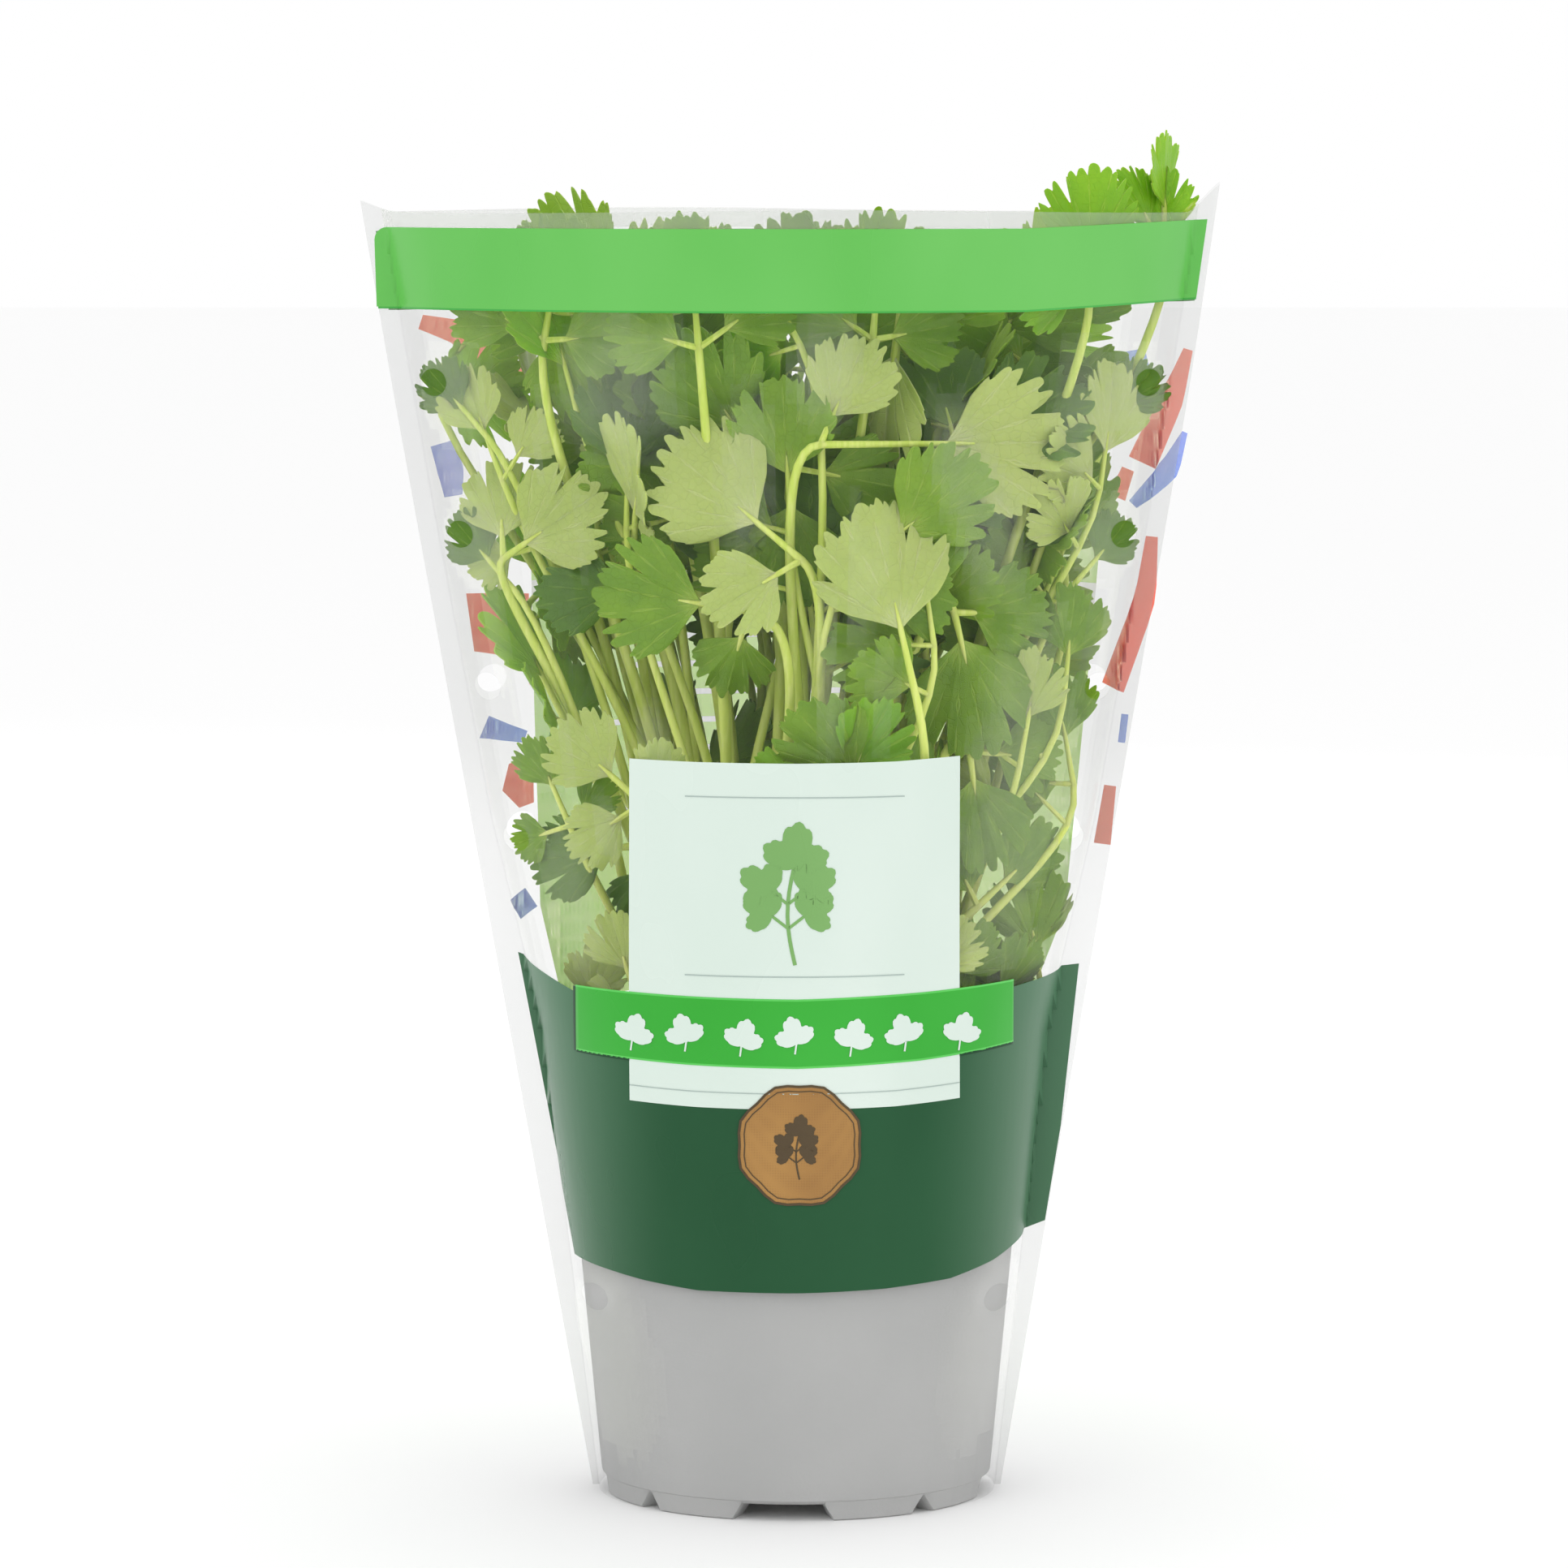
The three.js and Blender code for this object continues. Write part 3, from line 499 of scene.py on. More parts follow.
def leaf_material(name, young, old, under, vein):
    """A leaf blade. blade holds a point's place on its leaflet and which face it is on, and tone a
    number for each leaflet."""
    made, g = material(name, old, 0.42, Specular_IOR_Level=0.35, Subsurface_Weight=0.6,
                       Subsurface_Scale=0.0012, **LEAF_TISSUE)
    blade = g.attribute("blade", "Vector")
    across, along, side = g.node("SeparateXYZ", None, ((0, blade),))
    angle = g.math("ARCTAN2", across, along)
    reach = g.math("SQRT", g.math("ADD", g.math("MULTIPLY", across, across),
                                  g.math("MULTIPLY", along, along)))
    nearest = g.math("PINGPONG", g.math("ADD", angle, 10 * VEIN_SPREAD), VEIN_SPREAD / 2)
    sway = g.math("MULTIPLY", g.math("SUBTRACT", g.noise(5, vector=blade), 0.5), 0.07)
    away = g.math("ADD", g.math("MULTIPLY", nearest, reach), sway)
    main_vein = g.ramp(g.math("ABSOLUTE", away), 0.002, 0.011, 1.0, 0.0)
    fine_vein = g.ramp(g.cells("DISTANCE_TO_EDGE", 13, blade), 0.0, 0.05, 1.0, 0.0)
    mottle = g.noise(160, 3)
    upper = g.blend(g.math("MULTIPLY_ADD", g.attribute("tone"), 0.7), young, old)
    upper = g.blend(g.ramp(g.noise(2.6, 2, vector=blade), 0.42, 0.68, 0.0, 0.5), upper, old)
    upper = g.blend(g.ramp(mottle, 0.35, 0.7, 0.0, 0.35), upper, young)
    lower = g.blend(g.ramp(mottle, 0.3, 0.75, 0.0, 0.3), under, upper)
    colour = g.blend(g.ramp(side, 0.3, 0.7), lower, upper)
    colour = g.blend(g.math("MULTIPLY", main_vein, 0.38), colour, vein)
    colour = g.blend(g.math("MULTIPLY", fine_vein, 0.18), colour, old)
    g.give("Base Color", g.blend(g.ramp(reach, 0.05, 0.3, 0.5, 0.0), colour, vein))
    g.give("Roughness", g.ramp(mottle, 0.3, 0.7, 0.36, 0.52))
    relief = g.math("ADD", g.math("MULTIPLY", main_vein, -0.8), g.math("MULTIPLY", fine_vein, -0.35))
    g.bump(g.math("ADD", relief, g.math("MULTIPLY", mottle, 0.5)), 0.5, 0.0004)
    return made


def stem_material():
    """Pale lime stems with fine ribs along them, greener upwards."""
    made, g = material("stem_green", (0.36, 0.5, 0.1), 0.38, Specular_IOR_Level=0.4,
                       Subsurface_Weight=0.25, Subsurface_Scale=0.0015, **LEAF_TISSUE)
    streaks = g.noise(900, 2, stretch=(1, 1, 0.06))
    colour = g.blend(g.ramp(g.attribute("tone"), 0.0, 1.0), (0.74, 0.84, 0.2), (0.55, 0.71, 0.1))
    g.give("Base Color", g.blend(g.ramp(streaks, 0.4, 0.65, 0.0, 0.4), colour, (0.86, 0.92, 0.34)))
    g.bump(streaks, 0.35, 0.0004)
    return made


def pot_material():
    made, g = material("pot_grey", (0.42, 0.42, 0.415), 0.45)
    cloud = g.noise(22, 3)
    g.give("Base Color", g.blend(g.ramp(cloud, 0.3, 0.7), (0.405, 0.407, 0.403), (0.44, 0.44, 0.435)))
    g.give("Roughness", g.ramp(cloud, 0.3, 0.7, 0.4, 0.52))
    g.bump(g.noise(1400, 2), 0.12, 0.0004)
    return made


def soil_material():
    made, g = material("compost", (0.05, 0.03, 0.018), 0.95)
    clumps = g.noise(260, 5, 0.65)
    fibre = g.noise(900, 3, stretch=(1, 0.25, 1))
    colour = g.blend(g.ramp(clumps, 0.35, 0.65), (0.02, 0.012, 0.008), (0.09, 0.052, 0.03))
    g.give("Base Color", g.blend(g.ramp(fibre, 0.62, 0.72, 0.0, 0.8), colour, (0.22, 0.14, 0.075)))
    g.bump(clumps, 0.9, 0.0015)
    return made


def sheet_wrinkles(g, strength, distance):
    g.bump(g.noise(55, 3, 0.55, stretch=(1, 1, 0.3)), strength, distance)


def film_material(name, colour, alpha, roughness=0.18, glow=0.0):
    """Clear film: nearly all of it lets light through, and a faint haze stays. glow is how much of
    the haze is lit from behind."""
    made, g = material(name, colour, roughness, Alpha=alpha, Specular_IOR_Level=0.8,
                       Subsurface_Weight=glow, **THIN_SHEET)
    # Soft upright streaks, paler and darker: the film's uneven haze and painted sheen.
    haze_and_sheen_wisps = g.noise(24, 2, stretch=(1, 1, 0.35))
    paler = tuple(min(1.0, c * 1.12) for c in colour)
    darker = tuple(c * 0.86 for c in colour)
    g.give("Base Color", g.blend(g.ramp(haze_and_sheen_wisps, 0.3, 0.7), darker, paler))
    sheet_wrinkles(g, 0.35, 0.002)
    return made


def ink_material(name, colour, second, glow=0.0, specular=0.35, sides=None):
    """Ink on the film, with the soft unevenness of print on a bent sheet. glow is how much light
    comes through it from behind. sides is a paler colour towards the side seams: painted light."""
    made, g = material("ink_" + name, colour, 0.3, Specular_IOR_Level=specular,
                       Subsurface_Weight=glow, **THIN_SHEET)
    cloud = g.noise(18, 3, stretch=(1, 1, 0.5))
    printed = g.blend(g.ramp(cloud, 0.32, 0.7), colour, second)
    if sides:
        # Painted light: the ink turns paler towards the side seams, where the sheet turns away.
        away = g.math("ABSOLUTE", g.node("SeparateXYZ", None, ((0, g.place()),))[0])
        printed = g.blend(g.ramp(away, 0.024, 0.058), printed, sides)
    g.give("Base Color", printed)
    g.give("Roughness", g.ramp(cloud, 0.3, 0.7, 0.24, 0.39))
    sheet_wrinkles(g, 0.2, 0.001)
    return made


def bronze_material():
    """The badge's bronze print, in a fine screen of dots."""
    made, g = material("badge_bronze", (0.36, 0.18, 0.04), 0.35)
    dots = g.cells("F1", 1900, g.place(), ("Randomness", 0.0))
    colour = g.blend(g.ramp(g.noise(60, 2), 0.3, 0.7), (0.34, 0.165, 0.035), (0.43, 0.22, 0.05))
    g.give("Base Color", g.blend(g.ramp(dots, 0.2, 0.5, 0.25, 0.0), colour, (0.23, 0.1, 0.022)))
    g.bump(dots, 0.1, 0.0002)
    return made


def linear(r, g, b):
    """A screen colour as the linear values that a shader takes."""
    return tuple((c / 255 / 12.92) if c < 10.3 else ((c / 255 + 0.055) / 1.055) ** 2.4
                 for c in (r, g, b))


# Each green's young, old, under and vein colours. Besides the leaves' own differences, leaf_bright
# holds painted light, chiefly for leaves at the top and the back that light comes through, and
# leaf_dark painted shade, for the zones deep in the foliage and the leaves at the air holes.
LEAF_COLOURS = {
    "leaf_pale": ((0.49, 0.6, 0.19), (0.42, 0.53, 0.145), (0.52, 0.62, 0.24), (0.63, 0.72, 0.33)),
    "leaf_mid": ((0.25, 0.41, 0.026), (0.14, 0.275, 0.014), (0.27, 0.415, 0.055), (0.39, 0.55, 0.095)),
    "leaf_bright": ((0.28, 0.51, 0.02), (0.17, 0.39, 0.01), (0.32, 0.53, 0.045), (0.41, 0.61, 0.08)),
    "leaf_dark": ((0.13, 0.26, 0.016), (0.07, 0.165, 0.01), (0.18, 0.31, 0.035), (0.25, 0.39, 0.06)),
}
LEAF = {name: leaf_material(name, *colours) for name, colours in LEAF_COLOURS.items()}
STEM_GREEN = stem_material()

# ---------------------------------------------------------------- leafy stems

BLADE_THIN = 0.3  # a finished leaflet's thickness
SHEET_CLEAR = 1.0  # how far inside the CAD film's outside the leaves stay

# A leaflet's outline: how far the fan reaches at angles from the midrib, in degrees, and the slits
# between its lobes.
FAN = [(0, 1.02), (14, 1.0), (30, 0.97), (44, 0.92), (54, 0.83), (61, 0.69), (66, 0.45)]
FAN_EDGE = 66
# angle, half width, depth
SLITS = [(22.5, 4.6, (0.08, 0.48)), (45, 4.2, (0.05, 0.27)), (11, 2.8, (0.02, 0.13)),
         (34, 2.8, (0.03, 0.15)), (56, 2.6, (0.02, 0.12)), (0, 2.4, (0.01, 0.09))]
TOOTH_SPAN = 8.4  # degrees from tooth to tooth
TOOTH_DEPTH = 0.085
HALF_REACH = (0.93, 1.04)  # of each half of a blade, against the outline above
SLIT_SHIFT = (-3, 3)  # degrees that a slit is off its place
FINE_GRID = (132, (0.3, 0.6, 0.85, 1.0))
ZONE_GRID = (96, (0.4, 0.75, 1.0))
PLAIN_GRID = (76, (0.45, 0.85, 1.0))
FRILL = 0.03  # how far a blade's edge waves, against its length
GROOVE = 0.006  # how deep its main veins lie, against its length
MOUTH_SPREAD = 3  # how fast the leaves may spread above the sleeve's mouth
STEM_RISE = 0.5  # how much of its height a stem climbs before it leans
STEM_SIDES = 8
STALK_SIDES = 6
FOOT_SWELL = (1.12, 1.1, 1.04)  # the first rings of a stem, against its plain radius
STEM_END = (0.7, 0.62, 0.25)  # radii from the node over the end leaflet's base to its rib
STALK_END = (0.75, 0.6, 0.25)  # radii of a side stalk


def blade_faces(columns, rings):
    """Faces of a closed blade: a centre and rings of columns on each side, and the edge."""
    per_side = 1 + columns * rings
    top = []
    for j in range(columns - 1):
        top.append((0, 1 + j, 2 + j))
    for i in range(rings - 1):
        for j in range(columns - 1):
            a = 1 + i * columns + j
            top.append((a, a + columns, a + columns + 1, a + 1))
    bottom = [tuple(per_side + k for k in reversed(face)) for face in top]
    loop = [0]
    loop += [1 + i * columns for i in range(rings)]
    loop += [1 + (rings - 1) * columns + j for j in range(1, columns)]
    loop += [1 + i * columns + columns - 1 for i in range(rings - 2, -1, -1)]
    edge = [(b, a, a + per_side, b + per_side) for a, b in zip(loop, loop[1:] + loop[:1])]
    return top + bottom + edge


GRID_FACES = {grid: blade_faces(grid[0], len(grid[1])) for grid in (FINE_GRID, ZONE_GRID, PLAIN_GRID)}


def outline_reach(degrees, stream):
    """How far the blade reaches at each angle: lobes, slits and rounded teeth, a little different
    on each leaflet."""
    fan = np.array(FAN)
    reach = np.interp(np.abs(degrees), fan[:, 0], fan[:, 1])
    reach = reach * np.where(degrees < 0, stream.draw(HALF_REACH), stream.draw(HALF_REACH))
    for angle, half_width, depth in SLITS:
        for hand in (-1, 1):
            away = np.abs(degrees - hand * angle - stream.draw(SLIT_SHIFT)) / half_width
            reach = reach * (1 - stream.draw(depth) * np.maximum(0, 1 - away))
    start = stream.draw((0, TOOTH_SPAN))
    uneven = 0.35 * np.sin(degrees / 9 + start)
    swing = np.abs(np.cos(math.pi * (degrees - start) / TOOTH_SPAN + uneven))
    return reach * (1 - TOOTH_DEPTH * (1 - swing**0.45))


def add_leaflet(builder, leaflet, stream, grid, slot):
    columns, rings = grid
    degrees = np.linspace(-FAN_EDGE, FAN_EDGE, columns)
    angle = np.radians(degrees)
    rim = outline_reach(degrees, stream)
    share = np.array(rings)[:, None]
    reach = share * rim[None, :]
    crests = stream.draw((4, 8))
    start = stream.draw((0, 6))
    frill = FRILL * share**3 * np.sin(crests * 2 * angle + start)[None, :]
    groove = -GROOVE * share * np.cos(angle * 2 * math.pi / VEIN_SPREAD)[None, :] * (1 - share)
    sheet = blade_points(leaflet, angle[None, :], reach, frill + groove).reshape(-1, 3)
    sheet = np.concatenate([leaflet["at"][None, :] - leaflet["forward"] * HEEL * 0.5, sheet])
    limit = depth_at(sheet[:, 0], np.minimum(sheet[:, 2], SLEEVE_TOP), SHEET_CLEAR)
    limit = limit + MOUTH_SPREAD * np.maximum(0, sheet[:, 2] - SLEEVE_TOP)
    sheet[:, 1] = np.clip(sheet[:, 1], -limit, limit)
    half = leaflet["face"] * BLADE_THIN / 2
    across = np.concatenate([[0], (reach * np.sin(angle)).ravel()])
    along = np.concatenate([[0], (reach * np.cos(angle)).ravel()])
    blade = np.stack([across, along, np.ones_like(across)], axis=1)
    below = blade * (1, 1, 0)
    tone = np.full(2 * len(sheet), stream.next())
    builder.add(np.concatenate([sheet + half, sheet - half]), GRID_FACES[grid], slot,
                blade=np.concatenate([blade, below]), tone=tone)


def bezier(a, b, c, d, steps):
    t = np.linspace(0, 1, steps + 1)[:, None]
    return (1 - t) ** 3 * a + 3 * (1 - t) ** 2 * t * b + 3 * (1 - t) * t * t * c + t**3 * d


def stem_path(plan, steps):
    foot = np.array([plan["foot"]["x"], plan["foot"]["y"], SOIL_TOP + STEM_COLLAR])
    lean = plan["node"] - foot
    rising = foot + lean * (STEM_LEAN, STEM_LEAN, STEM_RISE)
    arriving = plan["node"] - plan["forward"] * plan["bend"]
    root = foot - UP * (STEM_COLLAR + STEM_DEPTH)
    return np.concatenate([[root], bezier(foot, rising, arriving, plan["node"], steps)])


def add_stem(builder, path, radii, sides):
    vertices, faces = tube(path, radii, sides)
    tone = np.clip((vertices[:, 2] - SOIL_TOP) / (SLEEVE_TOP - SOIL_TOP), 0, 1)
    builder.add(vertices, faces, tone=tone)


def rib_end(leaflet):
    """Where a stalk ends inside its leaflet."""
    return leaflet["at"] + leaflet["forward"] * (STALK_IN_BLADE * leaflet["length"])


def add_leafy_stem(builder, plan, stream, grid, thickness=1.0, steps=20, leaf_slot=1):
    """One leafy stem: its main stem, side stalks and leaflets."""
    path = stem_path(plan, steps)
    last = plan["leaflets"][0]
    climb = np.maximum(0, np.arange(len(path)) - 1) / steps
    radii = thickness * mix(*STEM_RADIUS, climb)
    radii[:3] *= FOOT_SWELL
    path = np.concatenate([path, [mix(plan["node"], last["at"], 0.55), last["at"], rib_end(last)]])
    add_stem(builder, path, np.concatenate([radii, thickness * np.array(STEM_END)]), STEM_SIDES)
    for leaflet in plan["leaflets"]:
        if "start" in leaflet:
            stalk = [leaflet["start"], leaflet["at"], rib_end(leaflet)]
            add_stem(builder, stalk, thickness * np.array(STALK_END), STALK_SIDES)
        add_leaflet(builder, leaflet, stream, grid, leaf_slot)


plans = grown_plans()
# The curled leaf at the right corner has two more leaflets round its stalk: where each starts, how
# far it turns up, its roll, how far in, and its length.
CURL = [((74.6, 260.0), 92, -40, 7.0, 14), ((72.0, 262.5), 116, 34, 6.5, 12)]
for name, _, plan in plans:
    if name == "leafy_stem_front_06":
        stream = Stream("curl")
        for (x, z), turn, roll, depth, length in CURL:
            leaf = facing_leaf(x, z, turn, roll, depth)
            plan["leaflets"].append(dict(
                start=plan["node"] - leaf["forward"] * STALK_OVERLAP, at=leaf["at"],
                forward=leaf["forward"], face=leaf["face"], length=length, **leaflet_form(stream)))
for number, (name, green, plan) in enumerate(plans):
    builder = MeshBuilder()
    add_leafy_stem(builder, plan, Stream("stem", number), FINE_GRID)
    piece = builder.finish(name.replace("leafy_stem", "coriander_stem"), [STEM_GREEN, LEAF[green]])
    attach(piece, "root")
    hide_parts(name)

# ---------------------------------------------------------------- foliage further in

# Zones of finer foliage between the leafy stems: how many, across as a share of the half width,
# heights, how far in from which sheet, lengths of the end leaflets, the greens and the blades' grid.
ZONE_KEYS = ("name", "count", "across", "height", "depth", "side", "length", "greens", "grid")
# The deep zones are mostly leaf_dark, painted shade; leaf_bright is painted light, chiefly at the top
# and the back.
MID_DARK, MID_PALE, MID_BRIGHT = (("leaf_mid", "leaf_" + other) for other in ("dark", "pale", "bright"))
ZONE_ROWS = [
    ("front_stems", 7, (-0.09, 0.16), (240, 247), (7, 15), -1, (13, 16), MID_BRIGHT, ZONE_GRID),
    ("margin_left", 8, (-0.93, -0.7), (192, 224), (3, 12), -1, (13, 19), MID_PALE, ZONE_GRID),
    ("margin_right", 10, (0.68, 0.92), (150, 222), (3, 12), -1, (13, 20), MID_PALE, ZONE_GRID),
    ("low_left", 11, (-0.86, -0.4), (104, 150), (2, 16), -1, (10, 15), MID_PALE[::-1], ZONE_GRID),
    ("low_right", 15, (0.38, 0.88), (104, 165), (2, 18), -1, (12, 19), MID_PALE, ZONE_GRID),
    ("front_upper", 20, (-0.8, 0.8), (186, 246), (6, 14), -1, (16, 23), MID_DARK, ZONE_GRID),
    ("front_inner", 18, (-0.8, 0.8), (186, 244), (16, 30), -1, (18, 25), MID_DARK[::-1], PLAIN_GRID),
    ("front_right", 9, (0.12, 0.78), (150, 195), (5, 16), -1, (15, 21), MID_BRIGHT, ZONE_GRID),
    ("back_outer", 22, (-0.84, 0.84), (196, 246), (5, 14), 1, (18, 25), MID_BRIGHT, PLAIN_GRID),
    ("back_inner", 14, (-0.75, 0.75), (185, 244), (18, 34), 1, (18, 25), MID_DARK[::-1], PLAIN_GRID),
    ("crown", 9, (-0.7, 0.7), (228, 246), (12, 46), -1, (17, 22), MID_BRIGHT, ZONE_GRID),
]
# What a zone has of its own: whether a lower pair grows, the fewest leaflets of a stem, the least
# distance between leaflets, and how level the leaflets lie.
ZONE_WAYS = {
    "front_stems": {"pair": False, "least": 1, "spacing": 6},
    "low_left": {"spacing": 8},
    "low_right": {"spacing": 8},
    "crown": {"level": 0.75},
}
LEAF_SPACING = 10.5  # least distance between the middles of two leaflets
ZONE_TOP = 264
ZONE_TRIES = 20  # for each leafy stem that a zone asks for
ZONE_THICKNESS = 0.8  # of its stems, against those of the solids
ZONE_STEPS = 12
DEEPEST = 1.7  # how far in from a sheet the foliage may lie, against the half depth there
# Attitude and size of a zone's leafy stems. fan is how far they turn outwards at the sides, pair the
# size of the lower leaflets against the end one, and second_green the share of stems in that.
ZONE_LEAF = {"fan": 35, "turn": (-50, 50), "roll": (-35, 35), "level": 0.25, "stalk": (8, 13),
             "bend": (14, 30), "roots": 33, "spin": (-0.7, 0.7), "pair": 0.8, "second_green": 0.4}
# What counts as inside: the share of a leaflet's points, how far they are off the sides, how far
# they may reach past the sheets' clear distance, and how far they are above the soil.
INSIDE = {"share": 0.85, "side": 3, "sheet": 2.5, "soil": 4}


def leaflet_middle(leaflet):
    return leaflet["at"] + leaflet["forward"] * leaflet["length"] * 0.55


taken_middles = [leaflet_middle(leaflet) for _, _, plan in plans for leaflet in plan["leaflets"]]
FRONT_MIDDLES = [leaflet_middle(leaflet) for name, _, plan in plans if "front" in name
                 for leaflet in plan["leaflets"]]
FRONT_REACH = 13  # nothing may lie over a front leaflet's middle within this distance
# Gaps in the foliage where the bundle of stems or the back's print shows: x, z, radius, and how far
# in from the front sheet they are kept clear.
WINDOWS = [(5, 214, 8, 24), (5, 230, 8, 24), (-24, 166, 8, 24), (-9, 168, 9, 24), (7, 170, 8, 24),
           (-61, 179, 10, 99), (-66, 241, 7, 99), (77, 227, 9, 99), (75, 213, 6, 99), (-59, 146, 7, 99)]


def hides_front(middle):
    """Whether a leaflet would lie over one of the front ones, or in a gap that shows stems."""
    x, y, z = middle
    for front in FRONT_MIDDLES:
        if y < front[1] + 1 and math.hypot(x - front[0], z - front[2]) < FRONT_REACH:
            return True
    depth = y + float(depth_at(x, z, CAD_FILM))
    return any(depth < deep and math.hypot(x - x0, z - z0) < radius for x0, z0, radius, deep in WINDOWS)


def add_lower_pair(plan, size, stream):
    """Two more leaflets on the stem, a little below its end."""
    path = stem_path(plan, ZONE_STEPS)
    node = path[-3]
    along = unit(path[-2] - path[-4])
    face = plan["leaflets"][0]["face"]
    for side in (-1, 1):
        face = unit(face - along * np.dot(face, along))
        outward = turned(along, face, side * math.radians(stream.draw(SIDE_LEAFLET["angle"])))
        at = node + outward * stream.draw(SIDE_LEAFLET["reach"])
        plan["leaflets"].append(dict(start=node, at=at, forward=outward, face=face,
                                     length=size * plan["leaflets"][0]["length"],
                                     **leaflet_form(stream)))


def zone_plan(zone, stream):
    """A leafy stem whose end lies somewhere in a zone, with its root in the compost under it."""
    z = stream.draw(zone["height"])
    middle, half_width, _, _ = section(z)
    x = middle + half_width * stream.draw(zone["across"])
    depth = min(stream.draw(zone["depth"]), DEEPEST * float(depth_at(x, z, CAD_FILM)))
    turn = 90 - ZONE_LEAF["fan"] * (x - middle) / half_width + stream.draw(ZONE_LEAF["turn"])
    leaf = facing_leaf(x, z, turn, stream.draw(ZONE_LEAF["roll"]), depth, zone["side"])
    level = zone.get("level", ZONE_LEAF["level"] * stream.next())
    leaf["face"] = leaf["face"] * (1 - level) + UP * level
    leaf.update(length=stream.draw(zone["length"]), stalk=stream.draw(ZONE_LEAF["stalk"]),
                bend=stream.draw(ZONE_LEAF["bend"]), sides=SIDE_PAIR)
    radius = ZONE_LEAF["roots"] * math.sqrt(stream.next())
    spin = math.atan2(ROOT_AIM[1] * leaf["at"][1], ROOT_AIM[0] * leaf["at"][0])
    spin += stream.draw(ZONE_LEAF["spin"])
    foot = dict(x=radius * math.cos(spin), y=radius * math.sin(spin))
    plan = plan_leaf(leaf, foot, stream)
    if zone.get("pair", True):
        add_lower_pair(plan, ZONE_LEAF["pair"], stream)
    return plan


def stays_inside(leaflet):
    """Whether nearly all of a leaflet lies between the sheets."""
    points = blade_points(leaflet, np.radians([[-55, -25, 0, 25, 55]]), np.array([[0.5], [1.0]]))
    points = points.reshape(-1, 3)
    middle, half_width, _, _ = section(points[:, 2].mean())
    limit = depth_at(points[:, 0], points[:, 2], SHEET_CLEAR) + INSIDE["sheet"]
    inside = np.abs(points[:, 0] - middle) < half_width - INSIDE["side"]
    inside &= np.abs(points[:, 1]) < limit
    low, high = points[:, 2].min(), points[:, 2].max()
    return inside.mean() > INSIDE["share"] and high < ZONE_TOP and low > SOIL_TOP + INSIDE["soil"]


def is_free(leaflet, spacing):
    """Whether a leaflet has a place of its own: inside, over no front leaf and off all others."""
    middle = leaflet_middle(leaflet)
    return (stays_inside(leaflet) and not hides_front(middle)
            and min(np.linalg.norm(middle - other) for other in taken_middles) > spacing)


for order, row in enumerate(ZONE_ROWS):
    zone = dict(zip(ZONE_KEYS, row), **ZONE_WAYS.get(row[0], {}))
    builder = MeshBuilder()
    placed = 0
    for attempt in range(zone["count"] * ZONE_TRIES):
        if placed == zone["count"]:
            break
        stream = Stream("zone", order, attempt)
        plan = zone_plan(zone, stream)
        end = plan["leaflets"][0]
        spacing = zone.get("spacing", LEAF_SPACING)
        plan["leaflets"] = [leaflet for leaflet in plan["leaflets"] if is_free(leaflet, spacing)]
        if len(plan["leaflets"]) < zone.get("least", 3) or plan["leaflets"][0] is not end:
            continue
        taken_middles.extend(leaflet_middle(leaflet) for leaflet in plan["leaflets"])
        leaf_slot = 1 if stream.next() < 1 - ZONE_LEAF["second_green"] else 2
        add_leafy_stem(builder, plan, stream, zone["grid"], ZONE_THICKNESS, ZONE_STEPS, leaf_slot)
        placed += 1
    piece = builder.finish("foliage_" + zone["name"], [STEM_GREEN, *(LEAF[g] for g in zone["greens"])])
    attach(piece, "root")

# Small leafy stems whose end leaflets lie just inside the upper air holes: side, height of the hole.
HOLE_LEAVES = [(-1, 230), (-1, 199), (1, 230), (1, 199)]
HOLE_LEAF = {"inset": 5.5, "drop": 5, "lean": 44, "roll": (-12, 12), "depth": 8, "length": 12,
             "stalk": 9, "bend": 10, "sides": [], "root_x": (24, 32), "root_y": (-16, -4)}


def hole_plan(side, height, stream):
    way = HOLE_LEAF
    middle, half_width, _, _ = section(height)
    x = middle + side * (half_width - HOLE_INSET - way["inset"])
    turn = 90 - way["lean"] * side
    leaf = facing_leaf(x, height - way["drop"], turn, stream.draw(way["roll"]), way["depth"])
    leaf.update({key: way[key] for key in ("length", "stalk", "bend", "sides")})
    foot = dict(x=side * stream.draw(way["root_x"]), y=stream.draw(way["root_y"]))
    return plan_leaf(leaf, foot, stream)


builder = MeshBuilder()
for number, (side, height) in enumerate(HOLE_LEAVES):
    stream = Stream("hole", number)
    plan = hole_plan(side, height, stream)
    add_leafy_stem(builder, plan, stream, ZONE_GRID, ZONE_THICKNESS, ZONE_STEPS)
# Their leaves are leaf_dark: painted shade, for the foliage seen deep inside the holes.
piece = builder.finish("foliage_at_holes", [STEM_GREEN, LEAF["leaf_dark"]])
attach(piece, "root")

# ---------------------------------------------------------------- pot


POT_COLUMNS = 168
# Each notch's angle round the foot ring and its widths at its foot and top.
NOTCHES = [(NOTCH_TURN + i * 2 * math.pi / NOTCH_COUNT, *(SMALL_NOTCH if i % 2 else WIDE_NOTCH))
           for i in range(NOTCH_COUNT)]


def pot_radius(z):
    return POT_BASE_RADIUS + FOOT_LEDGE + (z - FOOT_HEIGHT) * math.tan(POT_TAPER)


def notch_at(angle):
    """How high the foot ring is cut away at an angle round it."""
    high = 0.0
    for centre, foot, top in NOTCHES:
        turn = (angle - centre + math.pi) % (2 * math.pi) - math.pi
        if abs(turn) < 1:
            away = abs(POT_BASE_RADIUS * math.sin(turn))
            high = max(high, NOTCH_HEIGHT * min(1, max(0, (foot / 2 - away) / ((foot - top) / 2))))
    return high


